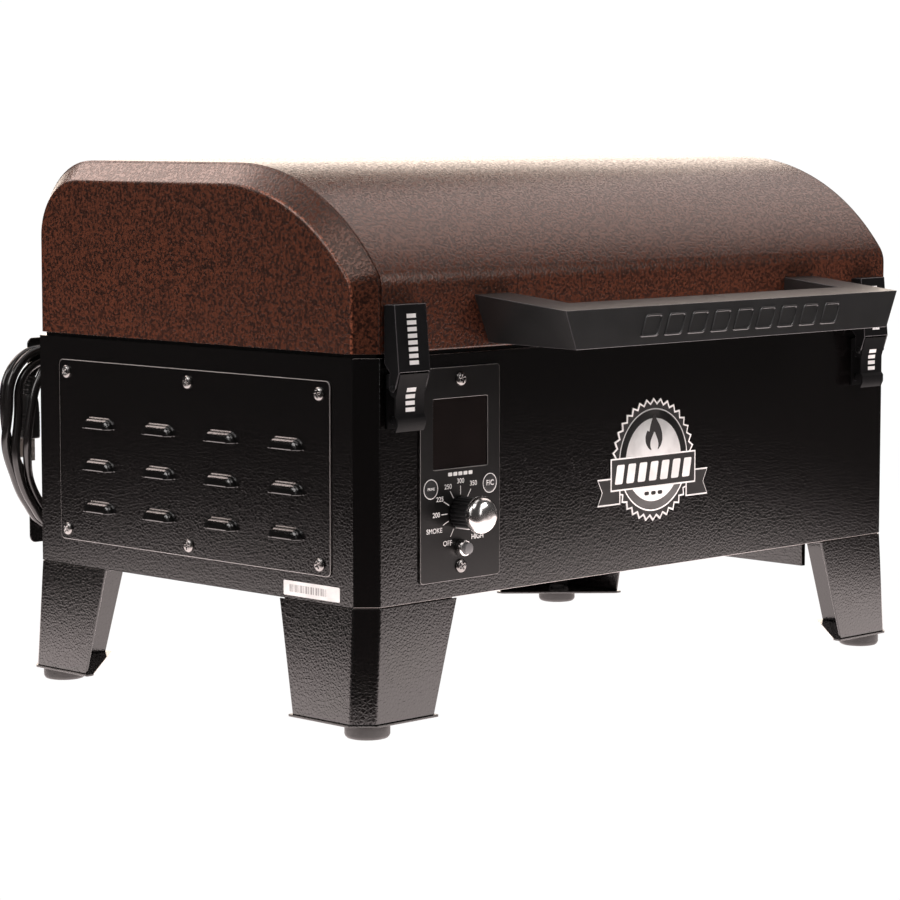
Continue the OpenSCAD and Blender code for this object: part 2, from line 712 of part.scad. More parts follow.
// A cleat: wall plate, strut and a lip that runs from the strut to z_tip.
module cleat(z_strut, z_tip) {
    z = [min(z_strut, z_tip), max(z_strut, z_tip)];
    t = 2;
    strut_z = z_tip > z_strut ? [z_strut, z_strut + t] : [z_strut - t, z_strut];
    box(lip_x, [back, back + sheet_t], z);
    box(strut_x, [back + sheet_t, back + cleat_reach - t], strut_z);
    box(lip_x, [back + cleat_reach - t, back + cleat_reach], z);
}

module cord_cleats() color([0.07, 0.07, 0.07]) {
    cleat(168, 197);
    cleat(45.5, 7);
}

module cord_gland() color([0.06, 0.06, 0.06]) {
    box([gland_x - 8, gland_x + 8], [back, back + 22], [66, 86]);
    rod_y(gland_x, back - 6, back, 76, 6);
    translate([gland_x, lead_y, 86]) cylinder(r1 = 7, r2 = cord_d / 2 + 0.8, h = 18);
}

module plug_body() color([0.06, 0.06, 0.06]) {
    box([plug_x - 8, plug_x + 8], [tail_y - 10, tail_y + 9], [106, plug_z]);
    // strain relief, curved with the lead
    translate([plug_x + plug_bend_r, tail_y, plug_z]) rotate([90, 0, 0])
        rotate([0, 0, 180 - relief_angle]) rotate_extrude(angle = relief_angle)
            translate([plug_bend_r, 0]) circle(5);
}

module plug_blades() color([0.8, 0.75, 0.6]) {
    for (s = [-1, 1]) box([plug_x - 7, plug_x - 0.6],
        [tail_y + s * 6.35 - 0.75, tail_y + s * 6.35 + 0.75], [88, 106]);
    rod_z(plug_x + 4.5, tail_y, 85, 106, 2.4);
}

// ================= lid
// Side profile of the lid in (y, z), drawn in from its outer skin by inset.
module lid_outline(inset, open = 0) {
    y0 = lid_front + inset;
    y1 = lid_rear - inset;
    z0 = lid_z0 - open;
    z1 = lid_z1 - inset;
    r = lid_rear_r - inset;
    intersection() {
        translate([y0, z0]) square([y1 - y0, z1 - z0]);
        union() {
            translate([dome_y, dome_z]) circle(dome_r - inset, $fn = 180);
            translate([dome_y, z0]) square([y1 - dome_y, z1 - z0]);
        }
        union() {
            translate([y0, z0]) square([y1 - r - y0, z1 - z0]);
            translate([y0, z0]) square([y1 - y0, z1 - r - z0]);
            translate([y1 - r, z1 - r]) circle(r);
        }
    }
}

handle_screw_x = [-202, 202];
handle_screw_z = [222, 238];

module lid_shell() color([0.3, 0.13, 0.1]) difference() {
    union() {
        along_x(-wrap_half, wrap_half) difference() {
            lid_outline(0);
            lid_outline(sheet_t, slack);
        }
        for (y = [lid_front, lid_rear - lid_hem]) box([-wrap_half, wrap_half],
            [y, y + lid_hem], [lid_z0, lid_z0 + sheet_t]);
    }
    for (x = handle_screw_x, z = handle_screw_z) rod_y(x, -3, 3, z, 2.6);
}

module lid_end() difference() {
    hull() {
        along_x(wrap_half, wrap_half + eps) lid_outline(0);
        along_x(lid_half - eps, lid_half) lid_outline(lid_bevel);
    }
    hull() {
        along_x(wrap_half - slack, wrap_half) lid_outline(sheet_t, slack);
        along_x(lid_half - sheet_t - eps, lid_half - sheet_t)
            lid_outline(lid_bevel + 0.6, slack);
    }
}

module lid_end_right() color([0.3, 0.13, 0.1]) lid_end();

module lid_end_left() color([0.3, 0.13, 0.1]) mirror([1, 0, 0]) lid_end();

// ---- handle: a hollow U that tapers downwards, open underneath
handle_top_z = [252, 242];
handle_low_z = [211, 209.5];
handle_taper = 15;
arm_w = 43;
bar_depth = 35;
root_y = lid_front;

// The outer block of the handle, drawn in by w and lowered by drop.
module handle_block(w, drop) intersection() {
    along_x(-handle_w, handle_w) polygon([[root_y - w, handle_top_z[0] - w],
        [-handle_reach + w, handle_top_z[1] - w], [-handle_reach + 1 + w, handle_low_z[1] - drop],
        [root_y - w, handle_low_z[0] - drop]]);
    along_y(-handle_reach - slack, slack) polygon([
        [-handle_w / 2 - 3.5 + w, handle_top_z[0] + slack], [handle_w / 2 + 3.5 - w,
        handle_top_z[0] + slack], [handle_w / 2 - handle_taper - w, handle_low_z[1] - drop],
        [-handle_w / 2 + handle_taper + w, handle_low_z[1] - drop]]);
}

module finger_gap(w) translate([0, 0, handle_low_z[1] - 2 * slack])
    linear_extrude(handle_top_z[0] - handle_low_z[1] + 4) polygon([
        [-handle_w / 2 + arm_w - 3.5 - w, slack], [handle_w / 2 - arm_w + 3.5 + w, slack],
        [handle_w / 2 - arm_w + w, -handle_reach + bar_depth - w],
        [-handle_w / 2 + arm_w - w, -handle_reach + bar_depth - w]]);

module handle() color([0.12, 0.12, 0.125]) difference() {
    handle_block(0, 0);
    finger_gap(0);
    difference() {
        handle_block(handle_wall, slack);
        finger_gap(handle_wall);
    }
    for (x = handle_screw_x, z = handle_screw_z) rod_y(x, -8, 0, z, 2.5);
}

module handle_screws() color("silver") for (x = handle_screw_x, z = handle_screw_z)
    translate([x, lid_front + sheet_t, z]) rotate([0, 0, 180]) pan_screw(5, 3, 2.45, 8);

// ---- main hinge
module hinge_body_leaves() color([0.2, 0.2, 0.2]) for (hx = hinge_x) translate([hx, 0, 0]) {
    box([-hinge_leaf, hinge_leaf], [back, back + 2], [166, hinge_z - knuckle_r - 0.5]);
    difference() {
        for (x = [[-hinge_leaf, -hinge_mid - hinge_gap], [hinge_mid + hinge_gap, hinge_leaf]]) {
            rod_x(x[0], x[1], hinge_y, hinge_z, knuckle_r);
            box(x, [back, back + 2], [hinge_z - knuckle_r - 0.5, hinge_z]);
        }
        rod_x(-hinge_leaf - 1, hinge_leaf + 1, hinge_y, hinge_z, hinge_pin_r);
    }
    rod_x(-hinge_leaf - 2, hinge_leaf + 2, hinge_y, hinge_z, hinge_pin_r);
}

module hinge_lid_leaves() color([0.2, 0.2, 0.2]) for (hx = hinge_x) translate([hx, 0, 0])
    difference() {
        union() {
            rod_x(-hinge_mid, hinge_mid, hinge_y, hinge_z, knuckle_r);
            box([-hinge_mid, hinge_mid], [lid_rear, hinge_y], [lid_z0 + 0.6, hinge_z + knuckle_r]);
            box([-hinge_leaf, hinge_leaf], [lid_rear, lid_rear + 2],
                [hinge_z + knuckle_r + 0.8, lid_z0 + 38]);
            box([-hinge_mid, hinge_mid], [lid_rear, lid_rear + 2],
                [lid_z0 + 0.6, hinge_z + knuckle_r + 1]);
        }
        rod_x(-hinge_mid - 1, hinge_mid + 1, hinge_y, hinge_z, hinge_pin_r + run_fit);
    }

// ================= latches, each about its own x
module latch_bases() color([0.1, 0.1, 0.1]) for (lx = latch_x) translate([lx, 0, 0]) {
    box([-base_half, base_half], [-1.5, 0], [146, 190]);
    for (s = [-1, 1]) translate([s * (base_half - latch_t / 2), 0, 0])
        along_x(-latch_t / 2, latch_t / 2) difference() {
            polygon([[-1.5, 179], [-1.5, 190], [-5, 191.5], [-9, 190], [-9, 185]]);
            translate(pivot) circle(pivot_r);
        }
    rod_x(-lever_half - 0.3, lever_half + 0.3, pivot[0], pivot[1], pivot_r);
    for (x = [-8, 8], z = [153, 176]) rod_y(x, -3.2, -1.5, z, 3.4);
}

module lever_plate() polygon([[-18.5, 191.5], [-13.5, 173], [-13.5, 158], [-15.6, 155.4],
    [-15.6, 149.4], [-13.2, 144.3], [-11.8, 145], [-14.1, 149.8], [-14.1, 154.9],
    [-12, 157.5], [-12, 173.2], [-16.9, 191.5]]);

module lever_flange() difference() {
    polygon([[-3, 191], [-18, 191.5], [-13.5, 173], [-9, 173], [-3, 181]]);
    translate(pivot) circle(pivot_r + run_fit);
}

module latch_lever(lx) color([0.08, 0.08, 0.085]) translate([lx, 0, 0]) {
    along_x(-lever_half, lever_half) lever_plate();
    for (s = [-1, 1]) translate([s * (lever_half - latch_t / 2), 0, 0])
        along_x(-latch_t / 2, latch_t / 2) lever_flange();
    // pivot stubs that carry the catch arm
    for (x = [[-latch_half - 0.6, -lever_half + latch_t], [lever_half - latch_t, latch_half + 0.6]])
        rod_x(x[0], x[1], arm_pivot[0], arm_pivot[1], pivot_r);
}

module latch_lever_left() latch_lever(latch_x[0]);

module latch_lever_right() latch_lever(latch_x[1]);

module latch_arm(lx) color([0.08, 0.08, 0.085]) translate([lx, 0, 0]) {
    along_x(-latch_half, latch_half) polygon([[-14, 248], [-19, 193], [-17.4, 193],
        [-12.5, 246.5], [-5, 246.5], [-5, 248]]);
    for (s = [-1, 1]) translate([s * (latch_half - latch_t / 2), 0, 0])
        along_x(-latch_t / 2, latch_t / 2) difference() {
            polygon([[-1.8, 247], [-14, 248], [-19, 193], [-15, 181], [-12.5, 177],
                [-9.5, 177], [-8, 181], [-8, 193], [-1.8, 200]]);
            translate(arm_pivot) circle(pivot_r + run_fit);
        }
}

module latch_arm_left() latch_arm(latch_x[0]);

module latch_arm_right() latch_arm(latch_x[1]);

module latch_keepers() color([0.1, 0.1, 0.1]) for (lx = latch_x) translate([lx, 0, 0])
    along_x(-12, 12) polygon([[lid_front, 222], [lid_front, 245], [-4.4, 245],
        [-4.4, 240], [-2.7, 238.5], [-2.7, 222]]);

// ================= the object, node by node
place() front_panel();
place() rear_panel();
place() left_end_panel();
place() right_end_panel();
place() floor_pan();
place() chamber_rim();
place() hopper_partition();
place() hopper_deck();
place() hopper_bin();
place() auger_tube();
place() auger_motor();
place() blower_housing();
place() burn_pot();
place() igniter_rod();
place() heat_deflector();
place() grate_rails();
place() temperature_probe();
place() control_board();
place() control_faceplate();
place() display_window();
place() faceplate_screws();
place() vent_cover();
place() vent_screws();
place() leg_front_left();
place() leg_front_right();
place() leg_rear_left();
place() leg_rear_right();
place() rubber_feet();
place() badge();
place() cord_cleats();
place() cord_gland();
place() cord_lead();
place() cord_hank();
place() cord_tail();
place() plug_body();
place() plug_blades();
place() latch_bases();
place() hinge_body_leaves();
place() lid_shell();
place() lid_end_left();
place() lid_end_right();
place() handle();
place() handle_screws();
place() hinge_lid_leaves();
place() latch_keepers();
place() latch_lever_left();
place() latch_lever_right();
place() latch_arm_left();
place() latch_arm_right();
place() dial_skirt();
place() dial_cap();
place() prime_button();
place() unit_button();
place() power_button();
place() auger_screw();
place() blower_impeller();
place() hopper_lid();
place() broiler_slider();
place() cooking_grate();
place() grease_tray();
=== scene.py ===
"""The looks of the table-top pellet smoker grill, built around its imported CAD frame.

Lengths below are millimetres in the cabinet's own frame: x across from the middle, y back from
the front face, z up from the underside of the cabinet. at() turns them into the row frame.
"""

import json
import math

import bmesh
import bpy
from mathutils import Matrix, Vector


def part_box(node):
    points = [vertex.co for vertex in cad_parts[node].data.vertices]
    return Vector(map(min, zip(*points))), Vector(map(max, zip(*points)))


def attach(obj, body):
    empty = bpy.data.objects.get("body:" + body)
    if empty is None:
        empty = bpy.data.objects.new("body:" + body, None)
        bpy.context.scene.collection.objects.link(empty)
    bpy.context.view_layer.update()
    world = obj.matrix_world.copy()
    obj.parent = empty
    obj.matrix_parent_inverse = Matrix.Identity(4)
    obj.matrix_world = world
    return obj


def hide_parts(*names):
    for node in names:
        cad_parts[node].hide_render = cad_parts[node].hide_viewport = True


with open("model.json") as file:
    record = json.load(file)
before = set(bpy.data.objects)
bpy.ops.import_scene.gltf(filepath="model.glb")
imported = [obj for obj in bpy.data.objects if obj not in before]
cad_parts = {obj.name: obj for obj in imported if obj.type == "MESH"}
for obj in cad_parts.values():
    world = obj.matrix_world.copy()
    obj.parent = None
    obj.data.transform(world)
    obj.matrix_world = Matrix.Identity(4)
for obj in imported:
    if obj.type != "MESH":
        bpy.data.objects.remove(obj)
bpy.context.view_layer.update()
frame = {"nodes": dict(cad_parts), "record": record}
SCENE = bpy.context.scene
NODES = frame["nodes"]
SLOT_OF = {s["node"]: s["material_slot"] for s in frame["record"]["subparts"]}
CABINET = "cabinet"
COAT = "cabinet_coat"
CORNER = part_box("front_panel")[0]
MM = 0.001
FORWARD = (0, -1, 0)
FOLD_DEG = 32


def at(x, y, z):
    """A point of the cabinet's frame, in the row frame, in metres."""
    return Vector((x * MM, CORNER.y + y * MM, CORNER.z + z * MM))


def new_object(name, data):
    """An object with this data, in the scene."""
    made = bpy.data.objects.new(name, data)
    SCENE.collection.objects.link(made)
    return made


# ---- camera
CAMERA_AT = (-2096.2, -1831.4, 393.9)
CAMERA_RIGHT = Vector((0.70492, -0.70929, 0.0))
CAMERA_UP = Vector((0.07336, 0.07291, 0.99464))
LENS_MM = 125.9

camera = new_object("camera", bpy.data.cameras.new("camera"))
camera.data.sensor_width = 36.0
camera.data.lens = LENS_MM
camera.data.clip_start = 0.05
camera.data.clip_end = 50.0
camera_axes = Matrix((CAMERA_RIGHT, CAMERA_UP, CAMERA_RIGHT.cross(CAMERA_UP))).transposed()
camera.matrix_world = Matrix.Translation(at(*CAMERA_AT)) @ camera_axes.to_4x4()
SCENE.camera = camera
SCENE.view_settings.view_transform = "Standard"
SCENE.view_settings.look = "None"


# ---- node helpers
class Nodes:
    """A material's node tree with short calls."""

    def __init__(self, name):
        self.material = bpy.data.materials.new(name)
        self.material.use_nodes = True
        self.tree = self.material.node_tree
        self.shader = self.tree.nodes["Principled BSDF"]
        self.place = self.add("ShaderNodeTexCoord").outputs["Object"]

    def feed(self, socket, value):
        """Links another node's output to the socket, or sets the socket's own value."""
        if isinstance(value, bpy.types.NodeSocket):
            self.tree.links.new(value, socket)
        elif isinstance(value, tuple) and len(value) < len(socket.default_value):
            socket.default_value = (*value, 1.0)
        else:
            socket.default_value = value

    def add(self, kind, inputs=None, **values):
        """A new node, with its settings and what its inputs are fed."""
        node = self.tree.nodes.new(kind)
        for key, value in values.items():
            setattr(node, key, value)
        for key, value in (inputs or {}).items():
            self.feed(node.inputs[key], value)
        return node

    def noise(self, size_mm, detail=2.0, rough=0.5, distortion=0.0, output="Fac"):
        """Noise whose features are about size_mm across."""
        return self.add("ShaderNodeTexNoise", {
            "Vector": self.place, "Scale": 1.0 / (size_mm * MM), "Detail": detail,
            "Roughness": rough, "Distortion": distortion}).outputs[output]

    def cells(self, size_mm, warp=0.0):
        """Distance to the nearest border of cells about size_mm wide, bent by warp mm."""
        place = self.place
        if warp:
            bend = self.noise(size_mm * 0.8, 1.0, output="Color")
            place = self.add("ShaderNodeVectorMath", {0: bend, 1: (warp * MM,) * 3, 2: place},
                             operation="MULTIPLY_ADD").outputs["Vector"]
        return self.add("ShaderNodeTexVoronoi", {"Vector": place, "Scale": 1.0 / (size_mm * MM)},
                        feature="DISTANCE_TO_EDGE").outputs["Distance"]

    def math(self, operation, a, b=0.5):
        return self.add("ShaderNodeMath", {0: a, 1: b}, operation=operation).outputs["Value"]

    def span(self, value, low, high, to_low=0.0, to_high=1.0):
        """value from low..high, turned smoothly into to_low..to_high and held there."""
        return self.add("ShaderNodeMapRange", {
            "Value": value, "From Min": low, "From Max": high, "To Min": to_low,
            "To Max": to_high}, interpolation_type="SMOOTHSTEP").outputs["Result"]

    def blend(self, share, a, b):
        """Colour a where share is 0 and colour b where it is 1."""
        colours = {"Factor": share, 6: a, 7: b}
        return self.add("ShaderNodeMix", colours, data_type="RGBA").outputs[2]

    def bump(self, height, depth_mm, strength):
        return self.add("ShaderNodeBump", {
            "Height": height, "Distance": depth_mm * MM, "Strength": strength}).outputs["Normal"]

    def finish(self, colour, rough, normal, metallic=0.0, **sockets):
        sockets.update(Base_Color=colour, Roughness=rough, Normal=normal, Metallic=metallic)
        for key, value in sockets.items():
            self.feed(self.shader.inputs[key.replace("_", " ")], value)
        return self.material


# ---- materials
def leather_coat():
    """Black powder coat with a fine leathery grain that sparkles where it faces the floor."""
    n = Nodes(COAT)
    ridge = n.cells(3.1, warp=1.4)
    grain = n.span(ridge, 0.0, 0.30)
    swell = n.noise(2.6, 1.0, 0.5, 0.3)
    height = n.math("ADD", n.math("MULTIPLY", grain, 0.6), n.math("MULTIPLY", swell, 0.8))
    normal = n.bump(height, 0.10, 0.8)
    rough = n.span(grain, 0.0, 1.0, 0.18, 0.10)
    colour = n.blend(n.span(n.noise(1.3, 1.0), 0.55, 0.85),
                     (0.0022, 0.0018, 0.0018), (0.0065, 0.0052, 0.0050))
    return n.finish(colour, rough, normal, Specular_IOR_Level=0.6)


def hammertone(name, shade):
    """Copper hammertone: dark flecks and pits in a brown metallic coat."""
    n = Nodes(name)
    fleck = n.span(n.noise(2.5, 1.0, 0.5, 0.3), 0.43, 0.56)
    speck = n.span(n.noise(1.7, 1.0), 0.45, 0.60)
    light = n.math("ADD", n.math("MULTIPLY", fleck, 0.7), n.math("MULTIPLY", speck, 0.3))
    colour = n.blend(light, tuple(c * shade for c in (0.010, 0.0022, 0.0010)),
                     tuple(c * shade for c in (0.112, 0.035, 0.019)))
    colour = n.blend(n.span(n.noise(60.0, 2.0), 0.3, 0.7, 0.0, 0.10), colour, (0.045, 0.02, 0.015))
    normal = n.bump(light, 0.13, 0.8)
    rough = n.span(light, 0.0, 1.0, 0.34, 0.22)
    return n.finish(colour, rough, normal, Specular_IOR_Level=0.55,
                    Specular_Tint=(1.0, 0.80, 0.72))


def plain(name, colour, rough, grain_mm, depth_mm, metallic=0.0, vary=0.06, specular=0.5):
    """Moulded or painted stuff with a fine grain and a roughness that varies a little."""
    n = Nodes(name)
    rough_map = n.span(n.noise(14.0, 4.0, 0.6), 0.3, 0.7, max(0.02, rough - vary), rough + vary)
    shade = tuple(c * 0.82 for c in colour)
    base = n.blend(n.span(n.noise(22.0, 3.0), 0.35, 0.65), colour, shade)
    normal = n.bump(n.noise(grain_mm, 2.0), depth_mm, 0.5)
    return n.finish(base, rough_map, normal, metallic, Specular_IOR_Level=specular)


def rolled_steel(name, colour, rough):
    """Bare steel with rolling streaks along x."""
    n = Nodes(name)
    stretch = n.add("ShaderNodeMapping", {"Vector": n.place, "Scale": (14.0, 900.0, 900.0)})
    streak = n.add("ShaderNodeTexNoise", {
        "Vector": stretch.outputs["Vector"], "Scale": 1.0, "Detail": 3.0}).outputs["Fac"]
    base = n.blend(streak, tuple(c * 0.75 for c in colour), colour)
    cloud = n.span(n.noise(40.0, 3.0), 0.3, 0.7, rough - 0.06, rough + 0.08)
    return n.finish(base, cloud, n.bump(streak, 0.02, 0.4), 1.0)


def galvanised():
    """Zinc coat with flakes of two greys."""
    n = Nodes("galvanised")
    flake = n.add("ShaderNodeTexVoronoi", {"Vector": n.place, "Scale": 110.0}, feature="F1")
    tone = n.add("ShaderNodeSeparateColor", {"Color": flake.outputs["Color"]})
    share = tone.outputs["Red"]
    base = n.blend(share, (0.42, 0.43, 0.44), (0.58, 0.59, 0.60))
    return n.finish(base, n.span(share, 0.0, 1.0, 0.32, 0.52), n.bump(share, 0.01, 0.3), 1.0)


def heat_coat():
    """Matt black that stands heat, with lighter patches of soot."""
    n = Nodes("heat_black")
    soot = n.noise(16.0, 5.0, 0.65)
    base = n.blend(n.span(soot, 0.4, 0.7), (0.018, 0.017, 0.017), (0.045, 0.038, 0.034))
    return n.finish(base, n.span(soot, 0.3, 0.7, 0.5, 0.75), n.bump(n.noise(1.4, 3.0), 0.15, 0.6))


def circuit():
    """A circuit board's lacquer with raised tracks."""
    n = Nodes("circuit_green")
    tracks = n.cells(5.0)
    base = n.blend(n.span(tracks, 0.02, 0.08, 1.0, 0.0), (0.012, 0.09, 0.035), (0.03, 0.17, 0.07))
    return n.finish(base, 0.35, n.bump(tracks, 0.1, 0.3))


# colour, roughness, width and depth of the grain in mm, metallic, spread of roughness, specular
PLAIN = {
    "handle_black": ((0.020, 0.020, 0.0205), 0.30, 1.2, 0.01, 0.0, 0.02, 0.8),
    "control_black": ((0.006, 0.0057, 0.0058), 0.30, 1.2, 0.008, 0.0, 0.015, 0.32),
    "window_gloss": ((0.010, 0.0072, 0.0068), 0.12, 2.0, 0.002, 0.0, 0.02),
    "chrome": ((0.88, 0.86, 0.85), 0.20, 3.0, 0.004, 1.0, 0.02),
    "knob_black": ((0.014, 0.014, 0.015), 0.35, 0.7, 0.03),
    "button_grey": ((0.16, 0.16, 0.165), 0.38, 0.7, 0.02),
    "key_black": ((0.012, 0.012, 0.013), 0.42, 0.5, 0.02),
    "latch_black": ((0.008, 0.008, 0.0085), 0.36, 1.2, 0.02, 0.0, 0.06, 0.08),
    "foot_rubber": ((0.022, 0.021, 0.021), 0.62, 1.2, 0.08),
    "cord_jacket": ((0.010, 0.009, 0.009), 0.18, 1.5, 0.02),
    "plug_black": ((0.014, 0.014, 0.014), 0.44, 0.8, 0.05),
    "blade_metal": ((0.80, 0.76, 0.72), 0.30, 2.0, 0.01, 0.35),
    "hinge_black": ((0.020, 0.019, 0.019), 0.34, 1.0, 0.05),
    "motor_grey": ((0.10, 0.10, 0.105), 0.45, 1.0, 0.05),
    "badge_print": ((0.90, 0.885, 0.875), 0.42, 0.9, 0.01),
}
MATERIALS = {name: plain(name, *values) for name, values in PLAIN.items()}
MATERIALS[COAT] = leather_coat()
MATERIALS["lid_coat"] = hammertone("lid_coat", 1.0)
MATERIALS["bare_steel"] = rolled_steel("bare_steel", (0.60, 0.59, 0.58), 0.27)
MATERIALS["galvanised"] = galvanised()
MATERIALS["heat_black"] = heat_coat()
MATERIALS["circuit_green"] = circuit()
WHITE_PRINT = plain("white_print", (0.88, 0.87, 0.86), 0.45, 0.8, 0.01)
SCREW_STEEL = plain("screw_steel", (0.24, 0.23, 0.225), 0.24, 1.2, 0.01, 1.0)
GREY_PRINT = plain("grey_print", (0.32, 0.31, 0.31), 0.5, 0.8, 0.01)
BADGE_BLACK = plain("badge_black", (0.012, 0.011, 0.011), 0.4, 0.8, 0.01)
# Hammertone 3.2 times lighter, laid on the front of each end cap's fold as a painted highlight.
FOLD_HIGHLIGHT = hammertone("painted_fold_highlight", 3.2)
# Grey on the vent cover's and control plate's rounded edges: a painted highlight.
PLATE_EDGE_HIGHLIGHT = plain("plate_edge_painted_highlight", (0.26, 0.245, 0.24), 0.22, 0.9, 0.01)
# Dark grey on the handle's and latches' rounded edges: a painted highlight.
GRIP_EDGE_HIGHLIGHT = plain("grip_edge_painted_highlight", (0.085, 0.08, 0.085), 0.2, 0.9, 0.01)
# Light grey on the sheets' cut rims and the lid caps' hems: a painted highlight.
RIM_HIGHLIGHT = plain("rim_painted_highlight", (0.42, 0.37, 0.35), 0.30, 0.9, 0.02)
LABEL_WHITE = plain("label_white", (0.80, 0.80, 0.79), 0.4, 1.0, 0.01)


# ---- mesh helpers
def final_mesh(made):
    """The mesh of a piece or a text, with its modifiers in it."""
    graph = bpy.context.evaluated_depsgraph_get()
    return bpy.data.meshes.new_from_object(made.evaluated_get(graph))


def apply_modifiers(piece):
    mesh = final_mesh(piece)
    piece.modifiers.clear()
    piece.data = mesh
    return piece


def mesh_piece(name, points, faces, slot, material=None, smooth=True):
    """A mesh from points in the row frame. Its faces are turned outwards."""
    mesh = bpy.data.meshes.new(name)
    mesh.from_pydata([tuple(p) for p in points], [], [tuple(f) for f in faces])
    work = bmesh.new()
    work.from_mesh(mesh)
    bmesh.ops.remove_doubles(work, verts=work.verts, dist=1e-7)
    bmesh.ops.recalc_face_normals(work, faces=work.faces)
    work.to_mesh(mesh)
    work.free()
    for polygon in mesh.polygons:
        polygon.use_smooth = smooth
    mesh.materials.append(material or MATERIALS[slot])
    piece = new_object(name, mesh)
    return piece


def flat_faces(piece):
    """Flat faces stay flat in the shading and only the folds shade round."""
    weigh = piece.modifiers.new("shading", "WEIGHTED_NORMAL")
    weigh.keep_sharp = True
    return apply_modifiers(piece)


def soften(piece, width_mm, segments=3, angle=FOLD_DEG, edge=None):
    """Rounds the piece's edges, in the edge material where there is one."""
    bevel = piece.modifiers.new("edges", "BEVEL")
    bevel.width = width_mm * MM
    bevel.segments = segments
    bevel.limit_method = "ANGLE"
    bevel.angle_limit = math.radians(angle)
    bevel.miter_outer = "MITER_ARC"
    if edge is not None:
        piece.data.materials.append(edge)
        bevel.material = len(piece.data.materials) - 1
    return flat_faces(piece)


def thicken(piece, thickness_mm, lining=0, rim=0):
    """Thickens a skin inwards. Lining and rim count up from its material to theirs."""
    solid = piece.modifiers.new("sheet", "SOLIDIFY")
    solid.thickness = thickness_mm * MM
    solid.offset = -1.0
    solid.use_even_offset = True
    solid.material_offset = lining
    solid.material_offset_rim = rim
    return apply_modifiers(piece)


def combine(piece, other, operation="DIFFERENCE"):
    """Cuts other out of the piece, or joins the two, and removes other."""
    boolean = piece.modifiers.new("cut", "BOOLEAN")
    boolean.operation = operation
    boolean.solver = "EXACT"
    boolean.object = other
    apply_modifiers(piece)
    bpy.data.objects.remove(other)
    return piece


def joined(pieces, name):
    """One piece from several, with their materials."""
    mesh = bpy.data.meshes.new(name)
    work = bmesh.new()
    for piece in pieces:
        start = len(work.faces)
        base = len(mesh.materials)
        work.from_mesh(piece.data)
        work.faces.ensure_lookup_table()
        for face in work.faces[start:]:
            face.material_index += base
        for material in piece.data.materials:
            mesh.materials.append(material)
    work.to_mesh(mesh)
    work.free()
    for piece in pieces[1:]:
        bpy.data.objects.remove(piece)
    pieces[0].data = mesh
    pieces[0].name = name
    return pieces[0]


AXES = {
    "x": lambda a, b, h: at(h, a, b),
    "y": lambda a, b, h: at(a, h, b),
    "z": lambda a, b, h: at(a, b, h),
}


def prism(name, outline, axis, low, high, slot, material=None, smooth=True):
    """An outline pushed along an axis. It is (y, z) along x, (x, z) along y, (x, y) along z."""
    to_point = AXES[axis]
    n = len(outline)
    points = [to_point(a, b, low) for a, b in outline] + [to_point(a, b, high) for a, b in outline]
    faces = [tuple(range(n)), tuple(range(2 * n - 1, n - 1, -1))]
    faces += [(i, (i + 1) % n, n + (i + 1) % n, n + i) for i in range(n)]
    return mesh_piece(name, points, faces, slot, material, smooth)


def combine_prism(piece, outline, axis, low, high, operation="DIFFERENCE"):
    """Cuts a prism out of the piece, or joins one to it."""
    other = prism("other", outline, axis, low, high, None, piece.data.materials[0])
    return combine(piece, other, operation)


def loft(name, rings, slot, closed=True, capped=False, ended=False, material=None):
    """A skin over rings of points. It can be capped at both ends, or at its last ring."""
    n = len(rings[0])
    points = [p for ring in rings for p in ring]
    faces = []
    for r in range(0, len(points) - n, n):
        for i in range(n if closed else n - 1):
            j = (i + 1) % n
            faces.append((r + i, r + j, r + n + j, r + n + i))
    if capped:
        faces.append(tuple(range(n)))
        faces.append(tuple(range(len(points) - 1, len(points) - n - 1, -1)))
    if ended:
        faces.append(tuple(range(len(points) - n, len(points))))
    return mesh_piece(name, points, faces, slot, material)


def lathe(name, profile, centre, axis, slot, sides=48, material=None):
    """A turned piece: profile is (radius, distance along axis) and closes on the axis."""
    axis = Vector(axis).normalized()
    side = axis.orthogonal().normalized()
    other = axis.cross(side)
    rings = []
    for radius, along in profile:
        ring = []
        for k in range(sides):
            a = 2 * math.pi * k / sides
            spoke = math.cos(a) * side + math.sin(a) * other
            ring.append(centre + axis * along * MM + spoke * max(radius, 1e-4) * MM)
        rings.append(ring)
    return loft(name, rings, slot, capped=True, material=material)


def arc(cx, cy, radius, start, end, steps):
    """Points of an arc, in degrees, ends included."""
    turn = [math.radians(start + (end - start) * i / steps) for i in range(steps + 1)]
    return [(cx + radius * math.cos(t), cy + radius * math.sin(t)) for t in turn]


def rounded_rect(x0, x1, y0, y1, radius, steps=5):
    corners = ((x1 - radius, y0 + radius, -90), (x1 - radius, y1 - radius, 0),
               (x0 + radius, y1 - radius, 90), (x0 + radius, y0 + radius, 180))
    return [p for cx, cy, a in corners for p in arc(cx, cy, radius, a, a + 90, steps)]


def curved(a, middle, b, steps):
    """Points of a curve from a to b that leans towards the middle point."""
    shares = [k / steps for k in range(steps + 1)]
    return [tuple(a * (1 - t) ** 2 + middle * 2 * t * (1 - t) + b * t * t) for t in shares]


def eased(points, reach, steps=4, closed=False):
    """A 2D line with each corner rounded: the curve starts reach before it."""
    made = []
    count = len(points)
    for i, p in enumerate(points):
        if not closed and i in (0, count - 1):
            made.append(tuple(p))
            continue
        here = Vector(p)
        before = Vector(points[i - 1]) - here
        after = Vector(points[(i + 1) % count]) - here
        span = min(reach, before.length * 0.45, after.length * 0.45)
        made += curved(here + before.normalized() * span, here,
                       here + after.normalized() * span, steps)
    return made


def onto(piece, body, *nodes):
    """The piece rides on a body and stands for these CAD nodes."""
    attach(piece, body)
    if nodes:
        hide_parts(*nodes)
    return piece


